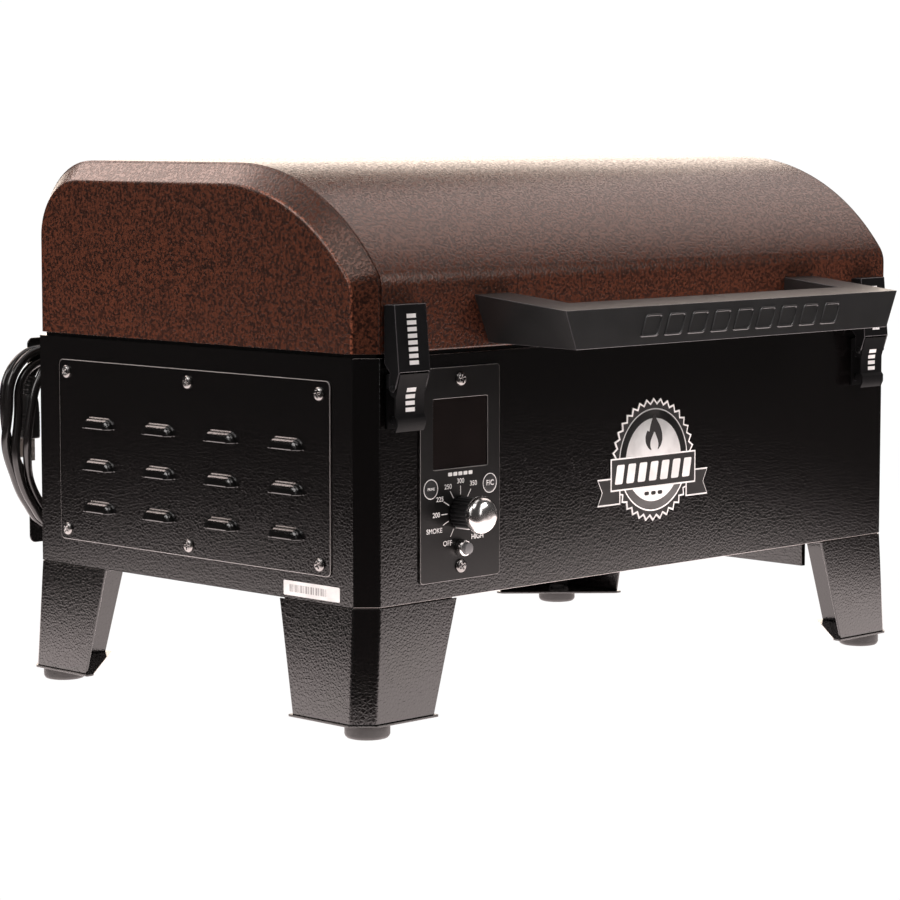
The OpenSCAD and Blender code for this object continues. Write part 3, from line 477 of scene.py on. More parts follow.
# ---- mains lead
CORD_R = 4.0
HANK_X = -310.0
HANK_LOW, HANK_HIGH = 66.0, 144.0
HANK_LEAN = 20.0
LEAN_TOP, LEAN_H = 112.0, 77.0
LEAN_X, LEAN_W = -270.0, 76.0
ROW_R, ROW_Y = 38.0, 471.0
ROW_STEP = CORD_R * math.sqrt(2.0)
ROW_SPREAD = 1.3
FULL_TURNS = 3
TAIL_START_DEG = 43.0
BEND_STEP_DEG = 12
LEAD_ROUTE = [
    (-264, 455, 104), (-264, 455, 120), (-264, 455, 136), (-264, 455, 150), (-266, 455, 162),
    (-273, 455, 173), (-284, 455, 180), (-296, 455, 182), (-308, 455, 180), (-319, 455, 173),
    (-327, 455, 162), (-333, 455, 150), (-337, 455, 134), (-340, 455.5, 117), (-342, 457.5, 100),
    (-342.8, 462, 84), (-342.8, 466, 73)]
INLET = (-264.0, 76.0)
PLUG_X, PLUG_Z = -329.0, 147.0
PLUG_BEND, PLUG_RISE = 26.0, 29.0
RELIEF_DEG, RELIEF_STEPS = 34.0, 28


def row(turn, share=0.0):
    """Radius and depth of a turn's row. The rows sit at a square's corners and share turns it."""
    a = math.radians(225 + 90 * (turn + share))
    return ROW_R + ROW_SPREAD * ROW_STEP * math.cos(a), ROW_Y + ROW_STEP * math.sin(a)


def bend(radius, y, z, start, end):
    """Part of a turn round a cleat, from one angle to another."""
    count = max(2, round(abs(end - start) / BEND_STEP_DEG))
    return [(x, y, h) for x, h in arc(HANK_X, z, radius, start, end, count)]


def winding():
    """The turns on the cleats. Each one moves to its next row on the left run."""
    made = []
    for turn in range(FULL_TURNS + 1):
        radius, y = row(turn)
        last = turn == FULL_TURNS
        if turn == 0:
            made += bend(radius, y, HANK_LOW, 180, 270)
        made += bend(radius, y, HANK_LOW, -78, 0)
        made += [(HANK_X + radius, y, HANK_LOW + d) for d in (13, 26, 39, 52, 65)]
        made += bend(radius, y, HANK_HIGH, 0, TAIL_START_DEG if last else 180)
        if last:
            break
        for k in range(1, 12):
            t = k / 12
            r, depth = row(turn, t * t * (3 - 2 * t))
            made.append((HANK_X - r, depth, HANK_HIGH + (HANK_LOW - HANK_HIGH) * t))
        radius, y = row(turn + 1)
        made += bend(radius, y, HANK_LOW, 180, 270)
    return made


def relief_point(degrees, y=ROW_Y):
    """A point on the lead's last curve, this many degrees before the plug."""
    a = math.radians(180 - degrees)
    return (PLUG_X + PLUG_BEND + PLUG_BEND * math.cos(a), y, PLUG_Z + PLUG_RISE * math.sin(a))


def slack(x, y, z):
    """The hank's left run leans in towards the lower cleat, the more the lower it is."""
    low = min(max((LEAN_TOP - z) / LEAN_H, 0.0), 1.0)
    left = min(max((LEAN_X - x) / LEAN_W, 0.0), 1.0)
    return x + HANK_LEAN * low * low * (3 - 2 * low) * left, y, z


cord_route = LEAD_ROUTE + winding()
cord_route += [relief_point(d, ROW_Y + 4 * min(1.0, (d - 30) / 70)) for d in range(122, 30, -14)]
cord_route += [relief_point(d) for d in (24, 12, 0)]
cord_points = [at(*slack(*p)) for p in cord_route]

curve = bpy.data.curves.new("mains_lead", "CURVE")
curve.dimensions = "3D"
curve.bevel_depth = CORD_R * MM
curve.bevel_resolution = 5
curve.use_fill_caps = True
curve.resolution_u = 4
spline = curve.splines.new("BEZIER")
spline.bezier_points.add(len(cord_points) - 1)
for knot, place in zip(spline.bezier_points, cord_points):
    knot.co = place
    knot.handle_left_type = knot.handle_right_type = "AUTO"
curve.materials.append(MATERIALS["cord_jacket"])
mains_lead = new_object("mains_lead", curve)
onto(mains_lead, CABINET, "cord_lead", "cord_hank", "cord_tail")


def tube_ring(centre, along, radius, sides=20):
    """A ring round a direction in the row frame."""
    along = Vector(along).normalized()
    side = along.cross(Vector((0, 1, 0))).normalized()
    depth = side.cross(along)
    turns = [2 * math.pi * k / sides for k in range(sides)]
    return [centre + (math.cos(a) * side + math.sin(a) * depth) * radius * MM for a in turns]


def mains_plug():
    """Moulded plug: a body with rounded sides and finger ridges, and a ribbed strain relief."""
    rings = []
    half_w, half_d = 8.0, 9.5
    stations = [(106.0, 0.90), (106.6, 0.97), (108.0, 1.0), (122.0, 1.0), (128.0, 0.99),
                (138.0, 0.93), (143.0, 0.86), (146.0, 0.76), (147.0, 0.66)]
    for z, share in stations:
        outline = rounded_rect(-half_w * share, half_w * share, -half_d * share,
                               half_d * share, 4.2 * share, 4)
        rings.append([at(PLUG_X + a, 470.5 + b, z) for a, b in outline])
    body = loft("plug_moulding", rings, "plug_black", capped=True)
    ridges = []
    for z in (113.0, 117.0, 121.0, 125.0, 129.0):
        outline = rounded_rect(PLUG_X - 8.7, PLUG_X + 8.7, z - 0.8, z + 0.8, 0.7, 3)
        ridges.append(prism("ridge", outline, "y", 464.5, 476.5, "plug_black"))
    relief = []
    for k in range(RELIEF_STEPS + 1):
        degrees = RELIEF_DEG * k / RELIEF_STEPS
        here = Vector(relief_point(degrees))
        ahead = Vector(relief_point(degrees + 1)) - here
        rib = 0.55 if (k // 3) % 2 == 0 else -0.35
        relief.append(tube_ring(at(*here), ahead, 5.9 - 1.2 * k / RELIEF_STEPS + rib))
    sleeve = loft("sleeve", relief, "plug_black", capped=True)
    return joined([body, *ridges, sleeve], "plug_moulding")


plug = onto(mains_plug(), CABINET, "plug_body")


def cord_inlet():
    """Elbow gland where the lead leaves the cabinet, with a ribbed relief that points up."""
    x, y = INLET[0], 455.0
    elbow = prism("inlet", rounded_rect(x - 8, x + 8, 440.2, 462.5, 4.5), "z", 66, 86, "plug_black")
    soften(elbow, 2.2, 4)
    collar = lathe("collar", [(0, 0), (12, 0), (12, 1.6), (10.4, 2.6), (0, 2.6)], at(x, 440, INLET[1]),
                   (0, 1, 0), "plug_black", 40)
    profile = [(0, 0), (7.4, 0)]
    ribs = 5
    for k in range(ribs):
        h = 1.0 + k * 3.3
        r = 7.3 - 2.1 * k / ribs
        profile += [(r, h), (r, h + 1.7), (r - 0.9, h + 2.1), (r - 0.9, h + 2.9)]
    profile += [(4.9, 17.6), (4.3, 18.4), (0, 18.4)]
    sleeve = lathe("sleeve", profile, at(x, y, 86), (0, 0, 1), "plug_black", 32)
    return joined([elbow, collar, sleeve], "cord_inlet_elbow")


onto(cord_inlet(), CABINET, "cord_gland")


# ---- lid
LID_FRONT, LID_REAR = -1.2, 437.0
LID_LOW, LID_TOP = 207.4, 360.7
DOME_Y, DOME_Z, DOME_R = 172.5, 150.7, 210.0
REAR_R, CREASE = 68.0, 8.0
WRAP_HALF = 333.6
LID_SHEET = 1.5
LID_INSIDE = at(0, 200, 250)


def facing_out(piece, inside):
    """Turns an open skin's faces away from a point inside it."""
    mesh = piece.data
    total = sum((p.center - inside).dot(p.normal) * p.area for p in mesh.polygons)
    if total < 0:
        mesh.flip_normals()
    return piece


def sheet_metal(piece, inside, thickness, edge, lining=None, rim=None):
    """An open skin made into a sheet with rounded rims. Its lining and rims can differ."""
    facing_out(piece, inside)
    painted = len(piece.data.materials)
    for material in (lining, rim):
        if material is not None:
            piece.data.materials.append(material)
    last = len(piece.data.materials) - 1
    thicken(piece, thickness, painted if lining else 0, last if rim else 0)
    return soften(piece, edge, angle=55)


def lid_profile(inset):
    """The lid's side outline in (y, z), from its front edge over the dome to its rear edge."""
    y0, y1, top = LID_FRONT + inset, LID_REAR - inset, LID_TOP - inset
    radius = DOME_R - inset
    start = math.degrees(math.acos((y0 - DOME_Y) / radius))
    corner = DOME_Z + radius * math.sin(math.radians(start))
    past = start - math.degrees(CREASE / radius)
    on_dome = Vector(arc(DOME_Y, DOME_Z, radius, past, past, 1)[0])
    line = [(y0, LID_LOW), (y0, LID_LOW + 20)]
    line += curved(Vector((y0, corner - CREASE)), Vector((y0, corner)), on_dome, 6)
    line += arc(DOME_Y, DOME_Z, radius, past, 90, 36)[1:]
    rear = REAR_R - inset
    line += [(DOME_Y + (y1 - rear - DOME_Y) * k / 4, top) for k in (1, 2, 3)]
    line += arc(y1 - rear, top - rear, rear, 90, 0, 16)
    line += [(y1, LID_LOW + 20), (y1, LID_LOW)]
    return line


def lid_wrap():
    """The lid's long sheet, with a narrow hem along its front and rear edges."""
    hem = [(LID_FRONT + 9, LID_LOW), (LID_FRONT + 1.6, LID_LOW), (LID_FRONT + 0.5, LID_LOW + 0.5)]
    rear_hem = [(LID_REAR - (y - LID_FRONT), z) for y, z in reversed(hem)]
    profile = hem + [(LID_FRONT, LID_LOW + 1.6)] + lid_profile(0)[1:-1]
    profile += [(LID_REAR, LID_LOW + 1.6)] + rear_hem
    half = WRAP_HALF - 0.5
    rings = [[at(x, y, z) for y, z in profile] for x in (-half, -half / 3, half / 3, half)]
    skin = loft("lid_wrap", rings, "lid_coat", closed=False)
    return sheet_metal(skin, LID_INSIDE, LID_SHEET, 0.7, MATERIALS["heat_black"])


def lid_cap(side):
    """A pressed end cap: a joggled rim, a 45 degree edge and a flat end."""
    rim = [(326.0, 2.0), (332.9, 2.0), (333.7, 1.3), (333.8, 0.7), (334.2, 0.15)]
    fold = [(350.0, 16.4), (350.75, 17.25), (351.25, 18.3), (351.45, 19.5), (351.5, 21.0)]
    slope = [(335.2 + (350.0 - 335.2) * k / 3, 1.6 + (16.4 - 1.6) * k / 3) for k in (0, 1, 2)]
    rings = [[at(side * x, y, z) for y, z in lid_profile(inset)]
             for x, inset in rim + slope + fold]
    name = "lid_cap_left" if side < 0 else "lid_cap_right"
    skin = loft(name, rings, "lid_coat", closed=False, ended=True)
    # The front part of each cap's fold takes the lighter hammertone: a painted highlight.
    skin.data.materials.append(FOLD_HIGHLIGHT)
    for polygon in skin.data.polygons:
        x, y, z = (polygon.center - at(0, 0, 0)) / MM
        if 350.3 < abs(x) < 351.2 and y < 150 and z > 208:
            polygon.material_index = 1
    # The cap's rims and hem are painted light grey as a highlight.
    return sheet_metal(skin, LID_INSIDE, LID_SHEET, 0.7, MATERIALS["heat_black"], RIM_HIGHLIGHT)


onto(lid_wrap(), "lid", "lid_shell")
onto(lid_cap(-1), "lid", "lid_end_left")
onto(lid_cap(1), "lid", "lid_end_right")


# ---- handle
HANDLE_FRONT, HANDLE_HALF = -101.2, 223.0
HANDLE_TOP, HANDLE_LOW = (252.0, 242.0), (211.0, 209.5)
HANDLE_WALL, ARM_W, BAR_DEPTH = 4.0, 43.0, 35.0
MARK_HALF, MARK_LOW, MARK_HIGH, MARK_SLANT = 11.5, 216.0, 235.5, 3.2
MARK_PITCH, MARK_SHIFT = 30.0, 4.0


def handle_block(w, drop):
    """The handle without its gap, w thinner all round and its underside lower by drop."""
    side = prism("handle", [
        (LID_FRONT - w * 0.2, HANDLE_TOP[0] - w), (HANDLE_FRONT + w, HANDLE_TOP[1] - w),
        (HANDLE_FRONT + 1 + w, HANDLE_LOW[1] - drop), (LID_FRONT - w * 0.2, HANDLE_LOW[0] - drop)],
        "x", -240, 240, "handle_black")
    low = HANDLE_LOW[1] - drop - 0.5
    front = prism("front", [
        (-HANDLE_HALF - 3.5 + w, 253), (HANDLE_HALF + 3.5 - w, 253),
        (HANDLE_HALF - 15 - w, low), (-HANDLE_HALF + 15 + w, low)], "y", -110, 5, "handle_black")
    return combine(side, front, "INTERSECT")


def finger_gap(w):
    """The room between the bar and the lid, w larger all round."""
    outer = HANDLE_HALF - ARM_W
    return prism("gap", [
        (-outer - 3.5 - w, 10), (outer + 3.5 + w, 10),
        (outer + w, HANDLE_FRONT + BAR_DEPTH - w), (-outer - w, HANDLE_FRONT + BAR_DEPTH - w)],
        "z", 200, 262, "handle_black")


def bar_face(z):
    """Depth of the handle's front face at a height."""
    share = (HANDLE_TOP[1] - z) / (HANDLE_TOP[1] - HANDLE_LOW[1])
    return HANDLE_FRONT + share


def grip_mark(middle):
    """A raised outline of a slanted bar on the handle's front."""
    def outline(inset):
        w = MARK_HALF - inset
        low = MARK_LOW + inset
        high = MARK_HIGH - inset
        corners = [(middle - w - MARK_SLANT, low), (middle + w - MARK_SLANT, low),
                   (middle + w + MARK_SLANT, high), (middle - w + MARK_SLANT, high)]
        return eased(corners, 3.0, 3, closed=True)

    rings = []
    for inset, height in ((0.0, -0.2), (0.5, 0.85), (1.2, 1.25), (1.9, 0.85), (2.4, -0.2)):
        rings.append([at(x, bar_face(z) - height, z) for x, z in outline(inset)])
    return loft("grip_mark", rings, "handle_black")


def handle_piece():
    """A hollow moulding with a painted highlight along its rounded edges, and a row of raised marks.
    """
    shell = combine(handle_block(0, 0), finger_gap(0))
    hollow = combine(handle_block(HANDLE_WALL, 1), finger_gap(HANDLE_WALL))
    combine(shell, hollow)
    soften(shell, 1.3, 4, edge=GRIP_EDGE_HIGHLIGHT)
    marks = [grip_mark(MARK_PITCH * k + MARK_SHIFT) for k in range(-4, 5)]
    return joined([shell, *marks], "handle_moulding")


onto(handle_piece(), "lid", "handle")


# ---- cabinet
CABINET_W, CABINET_D, CABINET_H = 700.0, 440.0, 204.0
LEFT, RIGHT = -CABINET_W / 2, CABINET_W / 2
CHAMFER = 15.4
CABINET_INSIDE = at(0, 220, 100)


def wrap_skin(name, rear=False):
    """The front or rear panel: one sheet folded at its two chamfered corners."""
    line = [(LEFT, CHAMFER), (LEFT + CHAMFER, 0), (RIGHT - CHAMFER, 0), (RIGHT, CHAMFER)]
    if rear:
        line = [(x, CABINET_D - y) for x, y in line]
    line = eased(line, 1.6, 4)
    rings = [[at(x, y, z) for x, y in line] for z in (0.0, CABINET_H)]
    skin = loft(name, rings, COAT, closed=False)
    # The sheet's rims are painted light grey as a highlight.
    return sheet_metal(skin, CABINET_INSIDE, 1.45, 0.6, rim=RIM_HIGHLIGHT)


def rear_wrap():
    """The rear panel with its row of air slots and the cord inlet's hole."""
    panel = wrap_skin("rear_panel_sheet", True)
    hole = arc(*INLET, 6.1, 0, 345, 23)
    slots = [rounded_rect(x, x + 9, 150, 180, 4.4, 4) for x in range(-110, 130, 24)]
    for outline in (*slots, hole):
        combine_prism(panel, outline, "y", 430, 450)
    panel.data.set_sharp_from_angle(angle=math.radians(FOLD_DEG))
    return flat_faces(panel)


onto(wrap_skin("front_panel_sheet"), CABINET, "front_panel")
onto(rear_wrap(), CABINET, "rear_panel")


# ---- legs
LEG_LOW_Z, PLATE_T = -96.0, 2.0
FLARE_X, FLARE_Y = 6.0, 2.0
FOOT_AT = 20.0
SIDE_TOP_W, SIDE_LOW_W = 105.0, 83.0
FLANGE_TIP = 101.0
PLATE_TIP = 4.0


def leg_piece(name, right, rear):
    """Two folded wings with a chamfer between them, a foot plate and a bolted top flange."""
    top_w, low_w = (111.0, 84.0) if rear else (105.0, 76.0)

    def spot(a, b, z):
        return at(RIGHT - a if right else LEFT + a, CABINET_D - b if rear else b, z)

    high = [(top_w, 0), (CHAMFER, 0), (0, CHAMFER), (0, SIDE_TOP_W)]
    low = [(low_w, -FLARE_Y), (CHAMFER - FLARE_X, -FLARE_Y),
           (-FLARE_X, CHAMFER - FLARE_Y), (-FLARE_X, SIDE_LOW_W)]
    rings = [[spot(a, b, z) for a, b in eased(line, 2.0, 4)]
             for line, z in ((high, -0.9), (low, LEG_LOW_Z))]
    wings = loft(name, rings, COAT, closed=False)
    sheet_metal(wings, spot(90, 90, -50), 2.0, 0.6)

    def slab(outline, z0, z1, edge):
        lower = [spot(a, b, z0) for a, b in outline]
        upper = [spot(a, b, z1) for a, b in outline]
        return soften(loft("slab", [lower, upper], COAT, capped=True), edge, 2)

    plate = slab(eased([(CHAMFER - FLARE_X, -4), (-8, CHAMFER - FLARE_Y),
                        (-8, SIDE_LOW_W + PLATE_TIP), (0, SIDE_LOW_W + PLATE_TIP),
                        (low_w + PLATE_TIP, 4), (low_w + PLATE_TIP, -4)], 2.0, 3, closed=True),
                 LEG_LOW_Z - PLATE_T, LEG_LOW_Z, 0.4)
    flange = slab([(CHAMFER + 0.6, 1.9), (1.9, CHAMFER + 0.6), (1.9, FLANGE_TIP),
                   (14, FLANGE_TIP), (14, 14), (FLANGE_TIP, 14), (FLANGE_TIP, 1.9)], -3, -0.1, 0.3)
    bolts = [lathe("bolt", [(0, 0), (5.6, 0), (5.6, 2.4), (4.6, 3.2), (0, 3.4)],
                   spot(a, b, -3), (0, 0, -1), COAT, 6, MATERIALS["bare_steel"])
             for a, b in ((80, 9), (9, 80))]
    return joined([wings, plate, flange, *bolts], name)


for right in (False, True):
    for rear in (False, True):
        place = ("rear" if rear else "front") + ("_right" if right else "_left")
        onto(leg_piece("leg_sheet_" + place, right, rear), CABINET, "leg_" + place)


def rubber_feet():
    """Four turned feet, each with a stud up into its leg."""
    feet = []
    for x in (LEFT + FOOT_AT, RIGHT - FOOT_AT):
        for y in (FOOT_AT, CABINET_D - FOOT_AT):
            profile = [(0, 0), (16.0, 0), (17.2, 0.4), (18.3, 1.6), (19.0, 3.2), (19.0, 10.2),
                       (18.4, 11.5), (17.0, 12.0), (7.0, 12.0), (7.0, 16.2), (0, 16.2)]
            feet.append(lathe("foot", profile, at(x, y, -110), (0, 0, 1), "foot_rubber", 48))
    return soften(joined(feet, "rubber_feet_turned"), 0.3, 2)


onto(rubber_feet(), CABINET, "rubber_feet")


# ---- screws
TO_ORIGIN = Matrix.Translation(-at(0, 0, 0))
VENT_YS, VENT_ZS = (53.4, 218.8, 384.5), (32.2, 173.3)
PANEL_X = LEFT + 107
PANEL_SCREW_ZS = (26, 182.7)


def cross_screw(radius):
    """A pan head with a cross recess at the origin of the cabinet frame, pointing up."""
    h = 3.0
    profile = [(0, -0.1), (radius, -0.1), (radius, 0.25 * h), (radius * 0.955, 0.48 * h),
               (radius * 0.85, 0.70 * h), (radius * 0.66, 0.87 * h), (radius * 0.42, 0.96 * h),
               (radius * 0.2, h), (0, h)]
    head = lathe("screw", profile, at(0, 0, 0), (0, 0, 1), "chrome", 36, SCREW_STEEL)
    long, thin = radius * 0.52, radius * 0.115
    for a, b in ((long, thin), (thin, long)):
        combine_prism(head, rounded_rect(-a, a, -b, b, 0.2, 1), "z", h * 0.35, h + 1)
    return head


def screws(name, places, outward, radius, node):
    """Screws at these places, each turned a little further than the one before."""
    source = cross_screw(radius)
    turn = Vector((0, 0, 1)).rotation_difference(Vector(outward)).to_matrix().to_4x4()
    copies = []
    for k, place in enumerate(places):
        spin = Matrix.Rotation(0.5 + 1.3 * k, 4, "Z")
        piece = source.copy()
        piece.data = source.data.copy()
        SCENE.collection.objects.link(piece)
        piece.data.transform(Matrix.Translation(at(*place)) @ turn @ spin @ TO_ORIGIN)
        copies.append(piece)
    bpy.data.objects.remove(source)
    onto(joined(copies, name), CABINET, node)


screws("vent_cover_screws", [(LEFT - 1.5, y, z) for y in VENT_YS for z in VENT_ZS],
       (-1, 0, 0), 5.8, "vent_screws")
screws("control_panel_screws", [(PANEL_X, -2, z) for z in PANEL_SCREW_ZS],
       FORWARD, 5.9, "faceplate_screws")


# ---- louvred cover
VENT_Y0, VENT_Y1 = 40.8, 395.6
VENT_Z0, VENT_Z1 = 22.5, 184.3
LOUVRE_L, LOUVRE_H, LOUVRE_OUT = 41.0, 9.0, 6.0
LOUVRES = [(73.5 + i * 82, 50.3 + j * 37.3) for i in range(4) for j in range(3)]


def hood(y0, z0):
    """A pressed hood that opens downwards, with a small flare where it leaves the sheet."""
    stations = [(LOUVRE_H, a) for a in range(0, 91, 10)]
    stations += [(LOUVRE_H + (LOUVRE_L - 2 * LOUVRE_H) * k / 6, 90) for k in range(1, 6)]
    stations += [(LOUVRE_L - LOUVRE_H, a) for a in range(90, 181, 10)]
    rows = [(1.12, 0.0), (1.03, 0.25), (0.99, 0.75)]
    rows += [(math.cos(math.radians(s)) ** 0.8, LOUVRE_OUT * math.sin(math.radians(s)) ** 0.85)
             for s in range(14, 90, 8)] + [(0.0, LOUVRE_OUT)]
    rings = []
    for share, out in rows:
        ring = []
        for y, a in stations:
            t = math.radians(a)
            ring.append(at(LEFT - 1.5 - out, y0 + y - LOUVRE_H * share * math.cos(t),
                           z0 + LOUVRE_H * share * math.sin(t)))
        rings.append(ring)
    skin = loft("hood", rings, COAT, closed=False)
    facing_out(skin, at(LEFT, y0 + LOUVRE_L / 2, z0))
    return thicken(skin, 1.0)


def louvred_cover():
    """The left end's cover: a plate with a slot under each hood."""
    plate = prism("vent_cover_sheet", rounded_rect(VENT_Y0, VENT_Y1, VENT_Z0, VENT_Z1, 5, 6),
                  "x", LEFT - 1.5, LEFT - 0.05, COAT)
    cutters = [prism("slot", rounded_rect(y + 1.5, y + LOUVRE_L - 1.5, z + 0.2, z + 7.2, 2.5, 3),
                     "x", LEFT - 4, LEFT + 2, COAT) for y, z in LOUVRES]
    combine(plate, joined(cutters, "slots"))
    # The plate's rounded edges take a grey: a painted highlight.
    soften(plate, 0.68, edge=PLATE_EDGE_HIGHLIGHT)
    return joined([plate, *[hood(y, z) for y, z in LOUVRES]], "vent_cover_sheet")


onto(louvred_cover(), CABINET, "vent_cover")


# ---- controls
PLATE_Z, PLATE_W, PLATE_H, PLATE_FRONT = 14.5, 94.0, 178.5, -2.0
WINDOW_HALF, WINDOW_Z = 32.25, (108.5, 167.0)
DIAL_Z, POWER_Z, KEY_Z, KEY_DX = 70.7, 41.5, 92.9, 34.9
PRINT_T, TICK_W, TICK_REACH = 0.06, 0.75, (15.2, 22.6)
TEXT_SCALE, TEXT_BOLD = 1.38, 0.06
DIAL_MARKS = (("OFF", -148, 29.0, 4.4), ("SMOKE", -113, 33.5, 4.2), ("200", -90, 28.5, 4.2),
              ("225", -62, 27.5, 4.2), ("250", -33, 27.0, 4.2), ("300", 0, 26.5, 4.2),
              ("350", 33, 28.0, 4.2), ("HIGH", 137, 29.5, 4.4))


def disc(x, z, radius, depth, material):
    """A flat round print on the cabinet's front, depth thick."""
    profile = [(0, 0), (radius, 0), (radius, depth), (0, depth)]
    return lathe("disc", profile, at(x, 0, z), FORWARD, "badge_print", 96, material)


def faceplate():
    """The control plate with its window and holes, and the collar round the power button."""
    half = PLATE_W / 2
    outline = rounded_rect(PANEL_X - half, PANEL_X + half, PLATE_Z, PLATE_Z + PLATE_H, 3.2, 5)
    plate = prism("control_plate", outline, "y", PLATE_FRONT, -0.02, "control_black")
    window = rounded_rect(PANEL_X - WINDOW_HALF, PANEL_X + WINDOW_HALF, *WINDOW_Z, 1.2, 3)
    combine_prism(plate, window, "y", -4, 1)
    holes = [(PANEL_X, DIAL_Z, 3.05), (PANEL_X, POWER_Z, 5.05),
             (PANEL_X - KEY_DX, KEY_Z, 7.55), (PANEL_X + KEY_DX, KEY_Z, 7.55)]
    for hole in holes:
        combine_prism(plate, arc(*hole, 0, 351, 39), "y", -4, 1)
    # The plate's rounded edges take a grey: a painted highlight.
    soften(plate, 0.8, edge=PLATE_EDGE_HIGHLIGHT)
    collar = lathe("collar", [(5.1, 0), (7.0, 0), (7.0, 5.6), (6.6, 6.5), (6.1, 7.0), (5.4, 7.0),
                              (5.1, 6.6)], at(PANEL_X, PLATE_FRONT, POWER_Z), FORWARD,
                   "control_black", 48, MATERIALS["chrome"])
    return joined([plate, collar], "control_plate")


onto(faceplate(), CABINET, "control_faceplate")


def printed(text, size, x, z, y=PLATE_FRONT - PRINT_T / 2):
    """Flat printing on the front, centred on a point. size is about its capitals' height."""
    font = bpy.data.curves.new("print", "FONT")
    font.body = text
    font.size = size * TEXT_SCALE * MM
    font.align_x = "CENTER"
    font.align_y = "CENTER"
    font.extrude = PRINT_T / 2 * MM
    font.offset = TEXT_BOLD * MM
    maker = new_object("print", font)
    mesh = final_mesh(maker)
    bpy.data.objects.remove(maker)
    upright = Matrix.Rotation(math.radians(90), 4, "X")
    mesh.transform(Matrix.Translation(at(x, y, z)) @ upright)
    mesh.materials.clear()
    mesh.materials.append(WHITE_PRINT)
    return new_object("print", mesh)


def print_bar(outline):
    """A flat white print of an outline on the control plate."""
    return prism("bar", outline, "y", PLATE_FRONT - PRINT_T, PLATE_FRONT, "control_black",
                 WHITE_PRINT, False)


def tick(degrees):
    """A printed tick beside the dial, at an angle clockwise from the top."""
    a = math.radians(degrees)
    out = Vector((math.sin(a), math.cos(a)))
    wide = Vector((out.y, -out.x)) * TICK_W / 2
    here = Vector((PANEL_X, DIAL_Z))
    start, end = (here + out * radius for radius in TICK_REACH)
    return print_bar([tuple(c) for c in (start - wide, start + wide, end + wide, end - wide)])


def ring_print(x, z, inner, outer, sides=56):
    """A flat white ring on the control plate."""
    rings = []
    for radius, depth in ((inner, 0.0), (inner, PRINT_T), (outer, PRINT_T), (outer, 0.0)):
        rings.append([at(x + a, PLATE_FRONT - depth, z + b)
                      for a, b in arc(0, 0, radius, 0, 360 - 360 / sides, sides - 1)])
    return loft("ring", rings, "control_black", material=WHITE_PRINT)


def control_printing():
    """The dial's scale, the rings round the keys and a row of bars under the window."""
    made = []
    for text, degrees, radius, size in DIAL_MARKS:
        a = math.radians(degrees)
        made.append(printed(text, size, PANEL_X + radius * math.sin(a),
                            DIAL_Z + radius * math.cos(a)))
        made.append(tick(degrees))
    for x in (PANEL_X - KEY_DX, PANEL_X + KEY_DX):
        made.append(ring_print(x, KEY_Z, 7.65, 8.35))
    for start in (PANEL_X - 14.6 + 6 * k for k in range(5)):
        made.append(print_bar(rounded_rect(start, start + 4.7, 102.1, 105.2, 0.6, 2)))
    return joined(made, "control_printing")


printing = control_printing()
onto(printing, CABINET)


def key_pad(k, name, text, size, body, node):
    """A membrane button with its printing."""
    x = PANEL_X + k * KEY_DX
    profile = [(0, 0), (7.5, 0), (7.5, 1.45), (7.2, 1.65), (6.0, 1.7), (0, 1.7)]
    pad = lathe("pad", profile, at(x, -0.65, KEY_Z), FORWARD, "key_black", 48)
    word = printed(text, size, x, KEY_Z, y=-2.42)
    onto(joined([pad, word], name), body, node)


key_pad(-1, "prime_key_pad", "PRIME", 2.3, "prime_key", "prime_button")
key_pad(1, "unit_key_pad", "F/C", 4.6, "unit_key", "unit_button")


def power_key():
    """A round push button that stands out of its collar."""
    profile = [(0, 0), (4.95, 0), (4.95, 14.8), (4.6, 15.4), (4.0, 15.6), (0, 15.6)]
    key = lathe("power_key_cap", profile, at(PANEL_X, 3, POWER_Z), FORWARD, "button_grey", 48)
    onto(key, "power_key", "power_button")


power_key()


def dial():
    """Black ribbed skirt with a white pointer, and a bright domed cap."""
    centre = at(PANEL_X, 0, DIAL_Z)
    rings = []
    sides = 192
    for along, share in ((2.5, 0.96), (3.0, 1.0), (22.6, 0.975), (23.4, 0.94)):
        ring = []
        for k in range(sides):
            a = 2 * math.pi * k / sides
            rib = 0.5 + 0.5 * math.cos(24 * a)
            radius = (12.7 + 1.1 * rib ** 0.6) * share
            ring.append(centre + Vector((math.cos(a) * radius, -along, math.sin(a) * radius)) * MM)
        rings.append(ring)
    skirt = loft("dial_skirt_ribbed", rings, "knob_black", capped=True)
    shaft = lathe("shaft", [(0, 0), (3, 0), (3, 12.6), (0, 12.6)], at(PANEL_X, 10, DIAL_Z),
                  FORWARD, "knob_black", 24)
    pointer = prism("pointer", [(-0.7, 12.9), (0.7, 12.9), (0.7, 14.15), (-0.7, 14.15)],
                    "y", -22.0, -3.4, "knob_black", WHITE_PRINT)
    at_rest = Matrix.Rotation(math.radians(DIAL_MARKS[0][1]), 4, "Y")
    pointer.data.transform(Matrix.Translation(centre) @ at_rest @ TO_ORIGIN)
    onto(joined([skirt, shaft, pointer], "dial_skirt_ribbed"), "dial", "dial_skirt")
    profile = [(0, 0), (15.4, 0), (15.95, 0.4), (16.0, 1.2), (15.9, 3.2), (15.4, 5.2),
               (14.4, 7.1), (12.9, 8.8), (10.9, 10.2), (8.4, 11.2), (5.6, 11.75), (2.8, 11.95),
               (0, 12.0)]
    cap = lathe("dial_cap_dome", profile, at(PANEL_X, -23.4, DIAL_Z), FORWARD, "chrome", 96)
    onto(cap, "dial", "dial_cap")


dial()


